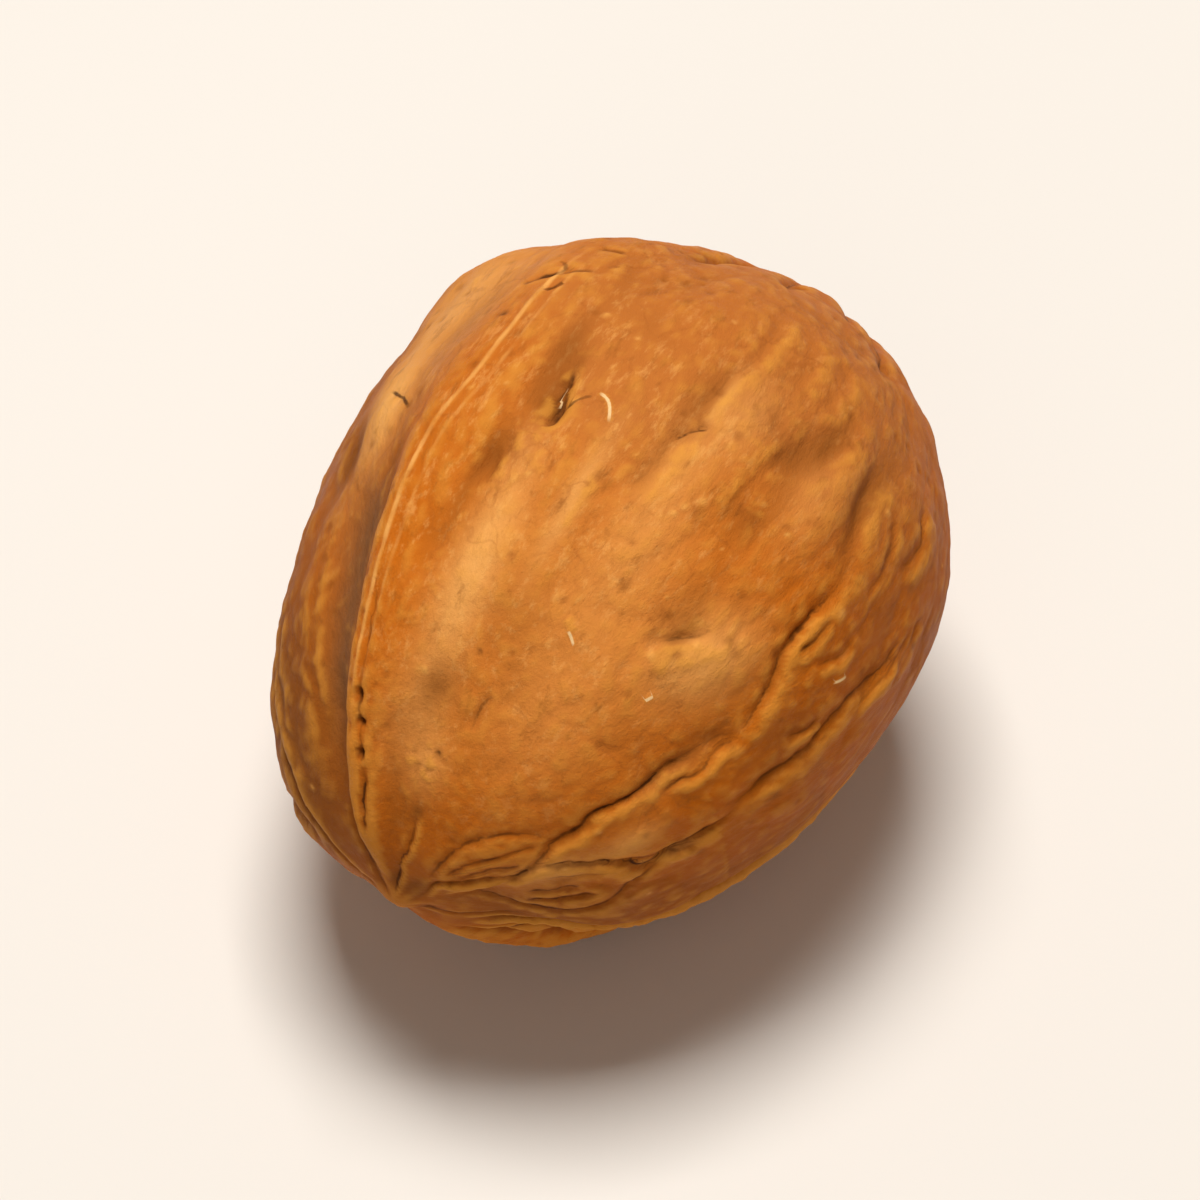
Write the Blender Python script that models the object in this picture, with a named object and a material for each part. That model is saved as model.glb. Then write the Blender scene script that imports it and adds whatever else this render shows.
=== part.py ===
# A walnut in its shell, lying on its side with the pointed end toward -Y.
# Places on the shell are given as (latitude, longitude) in degrees: latitude runs from 0 at the
# pointed tip to 180 at the stem scar, longitude from 0 on the upper seam to 90 on the right cheek
# and 180 on the lower seam.
import math
import random

import bmesh
import bpy
import numpy as np
from mathutils import Vector, noise

MM = 0.001
NUT_NAME = "walnut"
SEED = 11

# Unless it is seeded, the crinkle noise differs from run to run
noise.seed_set(SEED)

# Driving dimensions of the shell, from its centre
TIP_HALF_LENGTH = 21.3 * MM
STEM_HALF_LENGTH = 21.0 * MM
SEAM_HALF_WIDTH = 16.8 * MM
CHEEK_HALF_WIDTH = 17.6 * MM
STEM_END_FATNESS = 0.089
TIP_PINCH = 0.06
TIP_PINCH_ANGLE = 0.7

# The small point at the tip and the scar where the stem was
POINT_HEIGHT = 0.8 * MM
POINT_ANGLE = 0.085
SCAR_DEPTH = 0.45 * MM
SCAR_ANGLE = 0.13
SCAR_RIM_HEIGHT = 0.3 * MM
SCAR_RIM_ANGLE = 0.21
SCAR_RIM_WIDTH = 0.07

# The raised upper seam, across which places are longitudes in degrees: a steep drop on its left
# into a valley, and on its right a band that ends in a soft edge
UPPER_CREST_HEIGHT = 0.95 * MM
UPPER_CREST_DROP = (-8.5, -1.5)
UPPER_SOFT_DROP = 9.0
UPPER_SOFT_SPAN = (74.0, 92.0)
UPPER_BAND_EDGE = 12.0
UPPER_VALLEY_DEPTH = 0.95 * MM
UPPER_VALLEY_MIDDLE = -16.0
UPPER_VALLEY_WIDTH = 9.5
UPPER_VALLEY_SPAN = (18.0, 38.0, 64.0, 94.0)
UPPER_SWAY_START = 3.0
UPPER_SWAYS = ((12.0, 26.0, -2.1), (78.0, 94.0, 3.1), (100.0, 125.0, -1.0))

# The lower seam: its crest and the valleys beside it
LOWER_CREST_HEIGHT = 0.8 * MM
LOWER_CREST_WIDTH = 1.9 * MM
LOWER_VALLEY_DEPTH = 0.45 * MM
LOWER_VALLEY_OFFSET = 4.4 * MM
LOWER_VALLEY_WIDTH = 1.9 * MM
SEAM_WAVE = 0.5 * MM

# How the nut lies: rolled about its length, tip slightly down, on a small flat spot
ROLL = math.radians(27.9)
TIP_DOWN = math.radians(5.0)
REST_SPOT_DEPTH = 0.42 * MM
CUTTER_SIZE = 40 * MM

# Mesh density: the sphere that is shaped, and the share of its faces that is kept
SPHERE_SUBDIVISIONS = 7
KEPT_FACES = 0.12

# Broad swellings and hollows: (latitude, longitude, length and width in mm, height in mm)
SWELLINGS = (
    (35, -68, 8.0, 6.0, 0.95),
    (60, -52, 6.0, 4.0, -0.35),
    (86, -44, 8.0, 5.0, -0.45),
    (119, -30, 4.5, 3.5, 1.10),
    (124, -13, 4.0, 3.2, 0.62),
    (145, 2, 5.5, 6.0, -1.00),
    (138, -12, 3.5, 3.5, -0.45),
    (152, 42, 6.0, 6.0, 0.30),
    (85, 138, 8.0, 6.0, -0.45),
    (18, -122, 5.0, 4.0, -0.50),
    (27, 176, 6.0, 6.0, -0.75),
    (80.3, 13.6, 1.3, 0.65, -0.48),
    (93.5, 16.4, 2.5, 1.3, -0.58),
    (101.5, 14.8, 2.4, 0.8, -0.22),
    (66, 23, 6.5, 2.3, 0.42),
    (84, 27, 2.6, 1.6, 0.22),
    (48, 12, 5.0, 2.0, 0.12),
    (84, 34, 4.0, 2.6, 0.18),
    (96, 30, 3.0, 2.0, 0.18),
    (102, 41.2, 2.6, 1.0, -0.15),
    (101.5, 59, 1.2, 0.9, -0.12),
    (104, 61, 1.3, 1.0, -0.25),
    (108.3, 64.3, 1.6, 1.1, -0.34),
    (112.5, 66.8, 1.5, 0.9, -0.25),
    (96, 62, 3.0, 1.0, -0.16),
    (106, 70.6, 3.4, 1.2, 0.28),
    (106, 76.5, 3.2, 0.9, -0.26),
    (102, 49.5, 3.2, 1.8, 0.26),
    (69.5, 66.8, 1.8, 1.6, 0.32),
    (72.5, 71, 1.9, 1.6, 0.32),
    (72.5, 61.5, 2.4, 1.2, -0.24),
    (58, 60, 5.0, 3.4, 0.20),
    (92, 50, 4.0, 2.2, 0.22),
    (88, 72, 4.5, 3.0, 0.22),
    (114, 80, 3.6, 1.0, -0.20),
    (118, 55, 3.0, 3.0, 0.16),
    (120, 30, 5.0, 4.0, 0.25),
    (46, 23, 1.5, 1.2, -0.24),
    (44, 64, 5.0, 3.0, 0.20),
    (46.5, 94, 2.4, 1.2, 0.20),
    (57, 94, 5.0, 1.8, 0.18),
    (73, 95, 3.0, 1.5, -0.20),
    (85, 90, 3.0, 2.0, 0.22),
    (36, 87, 2.6, 0.9, 0.12),
    (24, 70, 2.6, 1.0, 0.14),
    (68, 112, 6.0, 2.4, 0.20),
    (96, 96, 3.0, 2.0, -0.20),
    (110, 92, 3.0, 3.0, 0.25),
    (52, -38, 7.0, 3.0, 0.25),
    (80.5, -27, 2.6, 1.1, -0.35),
    (87, -19, 4.0, 2.0, 0.22),
    (91, -158, 8.0, 5.0, 0.85),
    (90, -136, 9.0, 5.0, -0.45),
)

# Grooves on the photographed side, read upward from the tip: (path, width, depth and rib in mm).
# A rib is a raised edge on the side away from the upper seam, or toward it if negative.
READ_GROOVES = (
    (((58, 9), (66, 10), (70.5, 10.8), (75.5, 12.3), (80.3, 13.6), (84, 13.8), (89, 14), (95, 14.5),
      (101, 14.6), (107, 16)), 0.85, 0.26, 0.0),
    (((86.8, 20.8), (89, 20.4), (91, 20.0), (93.5, 18.7), (97, 17.6)), 0.40, 0.45, 0.0),
    (((83, 39), (88, 40.3), (91.5, 40.6), (95, 41.5), (97.6, 43.3)), 0.60, 0.14, 0.12),
    (((97, 42.6), (100, 42.3), (104, 42.4), (108, 43.2), (113, 44.6), (120, 45), (128, 44)),
     0.42, 0.10, 0.10),
    (((88, 57.5), (92, 57), (96, 57), (100, 58), (104, 60)), 0.45, 0.08, -0.05),
    (((66, 58), (70.2, 62.6), (72, 64.6), (75, 67)), 0.55, 0.16, 0.10),
    (((2, 84), (7, 76), (11, 71), (15, 77), (19, 82.5), (25, 87.5), (28.5, 86.5), (32, 84.5),
      (36.5, 80.5), (40.5, 80.5), (44, 79.2), (48, 80.6), (51, 81.2), (56, 81.6), (59, 83.5),
      (62, 85)), 0.40, 0.18, 0.12),
    (((10, 60), (15.3, 57), (22.5, 58.5), (26, 61), (29.5, 64.5), (32.5, 70), (35.3, 77.5),
      (36.5, 79.8)), 0.50, 0.08, 0.03),
    (((54, 80.5), (59, 82.5), (64, 84.5), (69, 86)), 0.75, 0.20, 0.10),
    (((66, 87.5), (70, 86), (72, 85), (76, 83.3), (79, 81), (82, 80.2), (85, 80.3), (88, 80.3),
      (91, 80.8), (96, 82)), 0.50, 0.20, 0.12),
    (((90, 81), (94, 81), (98, 79.5), (102, 77.8), (106, 76.4), (111, 77), (116, 79)),
     0.60, 0.14, 0.08),
    (((28.5, 86), (33.5, 89.5), (37, 93), (40.7, 96.8), (44, 101), (46, 104.3), (50, 103.6),
      (53, 103.5), (56.5, 104), (60, 103.5), (63, 102.5)), 0.46, 0.18, 0.10),
    (((60, 102), (66, 100.8), (69, 101), (72, 101.8), (75, 102), (78, 101.2), (82, 101), (88, 101.5),
      (94, 103.5), (101, 103)), 0.55, 0.20, 0.13),
    (((12, 77), (16, 95), (21, 109), (27.5, 117), (34, 120), (38.5, 116.5), (42.5, 111),
      (46.8, 107), (50, 104)), 0.56, 0.11, 0.04),
    (((25, 108), (32, 110.5), (38.5, 110.5)), 0.40, 0.06, 0.0),
    (((26, 101), (31, 103), (36, 104)), 0.36, 0.04, 0.0),
    (((25, 71), (29, 75), (32.6, 79)), 0.36, 0.05, 0.0),
    (((2, 22), (7, 26), (11, 30), (15, 32), (20.5, 31), (23.8, 29)), 0.36, 0.12, 0.16),
    (((1, -20), (8, -14), (16, -12), (24, -10)), 0.40, 0.08, 0.05),
    (((1, 150), (8, 140), (17, 132), (26, 130)), 0.42, 0.06, 0.0),
    (((1, -70), (9, -60), (18, -52), (27, -48)), 0.42, 0.10, 0.05),
    (((41, 36.5), (46, 36), (49, 37.5)), 0.40, 0.08, 0.0),
    (((47, 42), (53, 39), (59, 39.5)), 0.60, 0.08, 0.0),
    (((104, 93), (110, 95), (117, 92)), 0.60, 0.18, 0.12),
    (((32, -28), (44, -33), (58, -34), (72, -31), (79, -29)), 1.10, 0.20, 0.0),
    (((18, 4.4), (20, 5), (24, 5.7), (28, 5.7), (31, 5)), 0.36, 0.10, 0.0),
)

# Grooves on the sides that the photograph hides follow a rule: long wandering grooves from the
# tip to the stem end, linked by short slanting ones into a loose net.
HIDDEN_SPANS = ((144, 170), (190, 312))
LONG_GROOVE_SPACING = 17.0
LONG_GROOVE_START = 13.0
LONG_GROOVE_END = 154.0
LONG_GROOVE_STEP = 9.0
LONG_GROOVE_WANDER = 2.6
LONG_GROOVE_WIDTHS = (0.60, 0.85)
LONG_GROOVE_DEPTHS = (0.34, 0.62)
LONG_GROOVE_RIBS = (0.08, 0.26)
LINKS_PER_GAP = 4
LINK_LATITUDES = (30.0, 132.0)
LINK_RISES = (9.0, 20.0)
LINK_WIDTHS = (0.50, 0.65)
LINK_DEPTHS = (0.20, 0.38)

# Short grooves round the stem end, above the hidden sides: first and last longitude, and lengths
STEM_GROOVE_SPAN = (-50, 110)
STEM_GROOVE_SPACING = 17.0
STEM_GROOVE_START = (131.0, 142.0)
STEM_GROOVE_END = (155.0, 165.0)
STEM_GROOVE_BEND = 3.0

# How grooves are drawn on the shell
POINTS_PER_SPAN = 5
CRINKLE_HEIGHT = 0.20 * MM
CRINKLE_SIZE = 1.7 * MM
END_FADE = 3.0 * MM
SHORTEST_END_FADE = 0.20
TIP_FADE = (0.8, 4.5)
TIP_THINNING = 0.45
TIP_THINNING_SPAN = (4.0, 38.0)
GROOVE_REACH = 4.0
RIB_OFFSET = 1.8
RIB_WIDTH = 1.1

# Soft unevenness all over: (size in mm, height in mm)
UNEVENNESS = ((8.0, 0.22), (3.4, 0.11), (1.6, 0.035))

SHELL_COLOR = (0.53, 0.25, 0.085, 1.0)
SHELL_ROUGHNESS = 0.48


def clear_scene():
    """Remove every object that the file opened with."""
    for old in list(bpy.data.objects):
        bpy.data.objects.remove(old)


def new_collection(name):
    """Add a collection to the scene."""
    collection = bpy.data.collections.new(name)
    bpy.context.scene.collection.children.link(collection)
    return collection


def smooth_step(values, low, high):
    """0 below low, 1 above high, and a smooth rise between them."""
    t = np.clip((values - low) / (high - low), 0.0, 1.0)
    return t * t * (3.0 - 2.0 * t)


def bell(values, width):
    """A bell curve that is 1 in the middle."""
    return np.exp(-((values / width) ** 2))


def shell_points(latitude, longitude):
    """Points of the plain egg-like shell, in the nut's own frame."""
    polar = np.radians(latitude)
    around = np.radians(longitude)
    along = -np.cos(polar)
    half_length = np.where(along < 0.0, TIP_HALF_LENGTH, STEM_HALF_LENGTH)
    girth = np.sin(polar) * (1.0 + STEM_END_FATNESS * along)
    girth = girth * (1.0 - TIP_PINCH * bell(polar, TIP_PINCH_ANGLE))
    x = CHEEK_HALF_WIDTH * girth * np.sin(around)
    z = SEAM_HALF_WIDTH * girth * np.cos(around)
    return np.stack([x, half_length * along, z], axis=-1)


def end_relief(latitude):
    """Height of the point at the tip, and of the scar and its rim at the stem end."""
    from_tip = np.radians(latitude)
    from_stem = np.pi - from_tip
    point = POINT_HEIGHT * bell(from_tip, POINT_ANGLE)
    scar = -SCAR_DEPTH * bell(from_stem, SCAR_ANGLE)
    rim = SCAR_RIM_HEIGHT * bell(from_stem - SCAR_RIM_ANGLE, SCAR_RIM_WIDTH)
    return point + scar + rim


def across_upper_seam(latitude, longitude):
    """Degrees to the right of the upper seam's line, which sways on its way to the stem end."""
    line = UPPER_SWAY_START
    for low, high, shift in UPPER_SWAYS:
        line = line + shift * smooth_step(latitude, low, high)
    return longitude - line


def upper_seam(latitude, longitude):
    """Height of the upper seam with its band on the right and its valley on the left."""
    across = across_upper_seam(latitude, longitude)
    foot, top = UPPER_CREST_DROP
    left = smooth_step(across, foot - UPPER_SOFT_DROP * smooth_step(latitude, *UPPER_SOFT_SPAN), top)
    right = np.exp(-((np.maximum(across, 0.0) / UPPER_BAND_EDGE) ** 3))
    opens, opened, closes, closed = UPPER_VALLEY_SPAN
    along = smooth_step(latitude, opens, opened) * (1.0 - smooth_step(latitude, closes, closed))
    valley = UPPER_VALLEY_DEPTH * bell(across - UPPER_VALLEY_MIDDLE, UPPER_VALLEY_WIDTH)
    return UPPER_CREST_HEIGHT * left * right - valley * along


def lower_seam(points, latitude):
    """Height of the lower seam, a rounded crest between two shallow valleys."""
    side = points[:, 0]
    sway = SEAM_WAVE * np.sin(np.radians(latitude) * 5.0)
    crest = LOWER_CREST_HEIGHT * bell(side + sway, LOWER_CREST_WIDTH)
    valley = LOWER_VALLEY_DEPTH * bell(np.abs(side) - LOWER_VALLEY_OFFSET, LOWER_VALLEY_WIDTH)
    return crest - valley


def seam_relief(points, latitude, longitude):
    """Height of the two seams."""
    ends = smooth_step(latitude, 3.0, 22.0) * (1.0 - smooth_step(latitude, 140.0, 172.0))
    upper = upper_seam(latitude, longitude)
    lower = lower_seam(points, latitude)
    return np.where(points[:, 2] > 0.0, upper, lower) * ends


def swelling_relief(points):
    """Height of the broad swellings and hollows."""
    height = np.zeros(len(points))
    for latitude, longitude, length, width, rise in SWELLINGS:
        centre = shell_points(latitude, longitude)
        ahead = shell_points(latitude + 1.0, longitude) - centre
        beside = shell_points(latitude, longitude + 1.0) - centre
        offset = points - centre
        along = offset @ (ahead / np.linalg.norm(ahead)) / (length * MM)
        across = offset @ (beside / np.linalg.norm(beside)) / (width * MM)
        near = np.linalg.norm(offset, axis=1) < 3.0 * max(length, width) * MM
        height += np.where(near, rise * MM * np.exp(-along ** 2 - across ** 2), 0.0)
    return height


def noise_at(points, size):
    """Smooth repeatable noise from -1 to 1 at each point."""
    return np.array([noise.noise(Vector(p)) for p in (points / size).tolist()])


def uneven_relief(points):
    """Height of the soft unevenness all over the shell."""
    height = np.zeros(len(points))
    for size, rise in UNEVENNESS:
        height += rise * MM * noise_at(points, size * MM)
    return height


def smooth_path(path):
    """Points on the shell along a smooth, slightly crinkled line through the path's own points."""
    knots = [path[0], *path, path[-1]]
    line = []
    for a, b, c, d in zip(knots, knots[1:], knots[2:], knots[3:]):
        for step in range(POINTS_PER_SPAN):
            t = step / POINTS_PER_SPAN
            line.append([curve_value(values, t) for values in zip(a, b, c, d)])
    line.append(path[-1])
    latitude, longitude = np.array(line, dtype=float).T
    points = shell_points(latitude, longitude)
    crinkle = [noise.noise_vector(Vector(p)) for p in (points / CRINKLE_SIZE).tolist()]
    return points + CRINKLE_HEIGHT * np.array([tuple(c) for c in crinkle])


def curve_value(values, t):
    """One coordinate of a Catmull-Rom curve between the two middle values."""
    a, b, c, d = values
    return b + 0.5 * t * (c - a + t * (2 * a - 5 * b + 4 * c - d + t * (3 * (b - c) + d - a)))


def nearest_on_line(points, line):
    """Distance to a line, the signed distance across it, and how strong it is toward its ends."""
    starts = line[:-1]
    spans = line[1:] - starts
    lengths = np.linalg.norm(spans, axis=1)
    best = np.full(len(points), np.inf)
    side = np.zeros(len(points))
    walk = np.zeros(len(points))
    outward = points / np.linalg.norm(points, axis=1)[:, None]
    walked = np.concatenate([[0.0], np.cumsum(lengths)])
    for k, (start, span, length) in enumerate(zip(starts, spans, lengths)):
        offset = points - start
        t = np.clip(offset @ span / length ** 2, 0.0, 1.0)
        gap = offset - t[:, None] * span
        distance = np.linalg.norm(gap, axis=1)
        closer = distance < best
        across = np.einsum("ij,ij->i", gap, np.cross(span / length, outward))
        best = np.where(closer, distance, best)
        side = np.where(closer, np.sign(across) * distance, side)
        walk = np.where(closer, walked[k] + t * length, walk)
    fade = min(END_FADE, SHORTEST_END_FADE * walked[-1])
    ends = smooth_step(walk, 0.0, fade) * smooth_step(walked[-1] - walk, 0.0, fade)
    return best, side, ends


def tip_thinning(points):
    """How much of their width and depth the grooves keep, less where they crowd at the tip."""
    latitude = np.degrees(np.arccos(-points[:, 1] / np.linalg.norm(points, axis=1)))
    return TIP_THINNING + (1.0 - TIP_THINNING) * smooth_step(latitude, *TIP_THINNING_SPAN)


def groove_relief(points, grooves):
    """Height that the grooves take away and their ribs add."""
    height = np.zeros(len(points))
    thinned = tip_thinning(points)
    for path, full_width, full_depth, rib in grooves:
        line = smooth_path(path)
        reach = GROOVE_REACH * full_width * MM
        low = line.min(axis=0) - reach
        high = line.max(axis=0) + reach
        near = np.flatnonzero(np.all((points > low) & (points < high), axis=1))
        distance, side, ends = nearest_on_line(points[near], line)
        width = full_width * thinned[near]
        cut = full_depth * thinned[near] * MM * bell(distance, width * MM)
        from_rib = side * math.copysign(1.0, rib) - RIB_OFFSET * width * MM
        raised = abs(rib) * MM * bell(from_rib, RIB_WIDTH * width * MM)
        height[near] += (raised - cut) * ends
    return height


def long_groove(rng, longitude):
    """One wandering groove from near the tip to near the stem end."""
    path = []
    latitude = LONG_GROOVE_START + rng.uniform(0.0, 6.0)
    end = LONG_GROOVE_END - rng.uniform(0.0, 16.0)
    drift = 0.0
    while latitude < end:
        drift = 0.7 * drift + rng.uniform(-LONG_GROOVE_WANDER, LONG_GROOVE_WANDER)
        path.append((latitude, longitude + drift))
        latitude += LONG_GROOVE_STEP * rng.uniform(0.8, 1.2)
    return path


def link_groove(rng, left, right):
    """One short slanting groove from a long groove to its neighbour."""
    latitude = rng.uniform(*LINK_LATITUDES)
    rise = rng.choice((-1, 1)) * rng.uniform(*LINK_RISES)
    start = np.interp(latitude, *zip(*left))
    end = np.interp(latitude + rise, *zip(*right))
    bend = rng.uniform(-2.0, 2.0)
    middle = (latitude + rise * 0.5 + bend, (start + end) / 2)
    return ((latitude, start), middle, (latitude + rise, end))


def stem_grooves(rng):
    """Short grooves that run down to the stem scar."""
    grooves = []
    first, last = STEM_GROOVE_SPAN
    count = round((last - first) / STEM_GROOVE_SPACING)
    for k in range(count + 1):
        longitude = first + (last - first) * k / count + rng.uniform(-4.0, 4.0)
        start = rng.uniform(*STEM_GROOVE_START)
        end = rng.uniform(*STEM_GROOVE_END)
        bend = rng.uniform(-STEM_GROOVE_BEND, STEM_GROOVE_BEND)
        path = ((start, longitude), ((start + end) / 2, longitude + bend), (end, longitude))
        width = rng.uniform(*LINK_WIDTHS)
        grooves.append((path, width, rng.uniform(*LINK_DEPTHS), 0.0))
    return grooves


def hidden_grooves():
    """The net of grooves on the sides that the photograph hides."""
    rng = random.Random(SEED)
    grooves = stem_grooves(rng)
    for first, last in HIDDEN_SPANS:
        gaps = round((last - first) / LONG_GROOVE_SPACING)
        longitudes = [first + (last - first) * k / gaps for k in range(gaps + 1)]
        lines = [long_groove(rng, longitude) for longitude in longitudes]
        for line in lines:
            rib = rng.choice((-1, 1)) * rng.uniform(*LONG_GROOVE_RIBS)
            width = rng.uniform(*LONG_GROOVE_WIDTHS)
            grooves.append((line, width, rng.uniform(*LONG_GROOVE_DEPTHS), rib))
        for left, right in zip(lines, lines[1:]):
            for _ in range(LINKS_PER_GAP):
                path = link_groove(rng, left, right)
                width = rng.uniform(*LINK_WIDTHS)
                grooves.append((path, width, rng.uniform(*LINK_DEPTHS), 0.0))
    return grooves


def shaped_points(directions):
    """Points of the finished shell for unit directions in the nut's own frame."""
    latitude = np.degrees(np.arccos(np.clip(-directions[:, 1], -1.0, 1.0)))
    longitude = np.degrees(np.arctan2(directions[:, 0], directions[:, 2]))
    points = shell_points(latitude, longitude)
    grooves = groove_relief(points, (*READ_GROOVES, *hidden_grooves()))
    height = grooves * smooth_step(latitude, *TIP_FADE)
    height += seam_relief(points, latitude, longitude) + swelling_relief(points)
    height += uneven_relief(points) + end_relief(latitude)
    outward = points / np.linalg.norm(points, axis=1)[:, None]
    return points + outward * height[:, None]


def shell_material():
    """Waxy orange-brown shell."""
    material = bpy.data.materials.new("shell")
    material.use_nodes = True
    shader = material.node_tree.nodes["Principled BSDF"]
    shader.inputs["Base Color"].default_value = SHELL_COLOR
    shader.inputs["Roughness"].default_value = SHELL_ROUGHNESS
    shader.inputs["Metallic"].default_value = 0.0
    return material


def make_nut(collection):
    """The nut: a sphere whose points are moved onto the shell, laid on its side."""
    shape = bmesh.new()
    bmesh.ops.create_icosphere(shape, subdivisions=SPHERE_SUBDIVISIONS, radius=1.0)
    directions = np.array([v.co.normalized() for v in shape.verts])
    for vertex, point in zip(shape.verts, shaped_points(directions).tolist()):
        vertex.co = point
    mesh = bpy.data.meshes.new(NUT_NAME)
    shape.to_mesh(mesh)
    shape.free()
    mesh.materials.append(shell_material())
    mesh.shade_smooth()
    nut = bpy.data.objects.new(NUT_NAME, mesh)
    nut.rotation_mode = "YXZ"
    nut.rotation_euler = (TIP_DOWN, -ROLL, 0.0)
    collection.objects.link(nut)
    fewer = nut.modifiers.new("fewer_faces", "DECIMATE")
    fewer.ratio = KEPT_FACES
    return nut


def make_floor_cutter(collection, height):
    """A block whose top face, at the given height, is the plane the nut rests on."""
    shape = bmesh.new()
    bmesh.ops.create_cube(shape, size=CUTTER_SIZE)
    mesh = bpy.data.meshes.new("floor_cutter")
    shape.to_mesh(mesh)
    shape.free()
    cutter = bpy.data.objects.new("floor_cutter", mesh)
    cutter.location.z = height - CUTTER_SIZE / 2
    cutter.hide_render = True
    cutter.display_type = "WIRE"
    collection.objects.link(cutter)
    return cutter


def evaluated_box(piece):
    """Lowest and highest corner of an object in the world, with its modifiers."""
    bpy.context.view_layer.update()
    evaluated = piece.evaluated_get(bpy.context.evaluated_depsgraph_get())
    corners = np.array([piece.matrix_world @ v.co for v in evaluated.data.vertices])
    return corners.min(axis=0), corners.max(axis=0)


def main():
    """Build the nut, cut its rest spot and put the origin under its middle."""
    clear_scene()
    nut = make_nut(new_collection(NUT_NAME))
    low, high = evaluated_box(nut)
    cutter = make_floor_cutter(new_collection("cutters"), low[2] + REST_SPOT_DEPTH)
    rest_cut = nut.modifiers.new("rest_spot", "BOOLEAN")
    rest_cut.operation = "DIFFERENCE"
    rest_cut.object = cutter
    low, high = evaluated_box(nut)
    shift = Vector(((low[0] + high[0]) / 2, (low[1] + high[1]) / 2, low[2]))
    for piece in (nut, cutter):
        piece.location -= shift


main()
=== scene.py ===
# The finished look of the walnut: a fine mesh of the shell with its grooves, creases and pits,
# and the colours that go with them. Places on the shell are (latitude, longitude) in degrees:
# latitude runs from 0 at the pointed tip to 180 at the stem scar, longitude from 0 on the upper
# seam to 90 on the right cheek and 180 on the lower seam.
import math
import random

import bmesh
import bpy
import numpy as np
from mathutils import Euler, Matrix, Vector, noise


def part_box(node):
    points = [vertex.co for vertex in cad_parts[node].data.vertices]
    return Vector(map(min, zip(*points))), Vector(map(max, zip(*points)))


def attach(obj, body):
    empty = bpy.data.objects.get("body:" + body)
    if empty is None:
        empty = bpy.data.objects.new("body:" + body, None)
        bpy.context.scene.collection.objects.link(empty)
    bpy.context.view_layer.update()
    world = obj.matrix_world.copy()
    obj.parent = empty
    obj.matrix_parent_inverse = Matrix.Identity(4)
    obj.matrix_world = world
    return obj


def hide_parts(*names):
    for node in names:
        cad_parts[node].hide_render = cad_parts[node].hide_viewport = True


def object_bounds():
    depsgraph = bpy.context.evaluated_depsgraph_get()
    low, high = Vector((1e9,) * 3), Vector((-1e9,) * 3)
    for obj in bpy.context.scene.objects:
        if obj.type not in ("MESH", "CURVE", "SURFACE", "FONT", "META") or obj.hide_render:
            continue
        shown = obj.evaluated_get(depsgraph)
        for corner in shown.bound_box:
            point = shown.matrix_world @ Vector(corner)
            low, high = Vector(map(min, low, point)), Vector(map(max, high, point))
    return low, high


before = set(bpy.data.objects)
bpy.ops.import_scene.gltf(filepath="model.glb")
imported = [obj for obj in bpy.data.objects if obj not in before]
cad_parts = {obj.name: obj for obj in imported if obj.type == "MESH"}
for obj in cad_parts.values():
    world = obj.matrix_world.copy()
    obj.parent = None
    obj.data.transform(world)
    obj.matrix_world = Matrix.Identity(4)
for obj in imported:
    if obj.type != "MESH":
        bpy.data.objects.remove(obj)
CAD_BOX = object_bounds()

MM = 0.001
SEED = 11

# Unless it is seeded, the crinkle noise differs from run to run
noise.seed_set(SEED)

# Driving dimensions of the shell, from its centre
TIP_HALF_LENGTH = 21.3 * MM
STEM_HALF_LENGTH = 21 * MM
SEAM_HALF_WIDTH = 16.8 * MM
CHEEK_HALF_WIDTH = 17.6 * MM
STEM_END_FATNESS = 0.089
TIP_PINCH = 0.06
TIP_PINCH_ANGLE = 0.7

# The small point at the tip and the scar where the stem was
POINT_HEIGHT = 0.8 * MM
POINT_ANGLE = 0.085
SCAR_DEPTH = 0.45 * MM
SCAR_ANGLE = 0.13
SCAR_RIM_HEIGHT = 0.3 * MM
SCAR_RIM_ANGLE = 0.21
SCAR_RIM_WIDTH = 0.07
SCAR_RING_WIDTH = 0.028
SCAR_RING_DEPTH = 0.1 * MM
SCAR_ROUGHNESS = 0.16 * MM
SCAR_GRAIN = 0.9 * MM

# The raised upper seam, across which places are longitudes in degrees: a rounded rib whose steep
# left side drops into a valley, a fine bead along its top, and a band on its right with a soft edge
UPPER_CREST_HEIGHT = 0.95 * MM
UPPER_CREST_DROP = (-8.5, -1.5)
UPPER_SOFT_DROP = 9
UPPER_SOFT_SPAN = (74, 92)
UPPER_BAND_EDGE = 12
UPPER_BEADS = ((0, 0.7, 0.06), (2.9, 0.7, 0.02))
UPPER_BEAD_SPAN = (25, 50, 108, 125)
UPPER_LINE_SPAN = (36, 60, 108, 124)
UPPER_LINE_WIDTH = 5
UPPER_LINE_GRAIN = 1.1 * MM
UPPER_VALLEY_DEPTH = 0.95 * MM
UPPER_VALLEY_MIDDLE = -16
UPPER_VALLEY_WIDTH = 9.5
UPPER_VALLEY_SPAN = (18, 38, 64, 94)
# Where the valley is greyish brown: a stain with painted shade under the seam's steep left side
UPPER_STAIN_AND_SHADE_MIDDLE = -13
UPPER_STAIN_AND_SHADE_WIDTH = 7
UPPER_STAIN_AND_SHADE_SPAN = (24, 45, 66, 84)
UPPER_SWAY_START = 3
UPPER_SWAYS = ((12, 26, -2.1), (78, 94, 3.1), (100, 125, -1))

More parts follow.
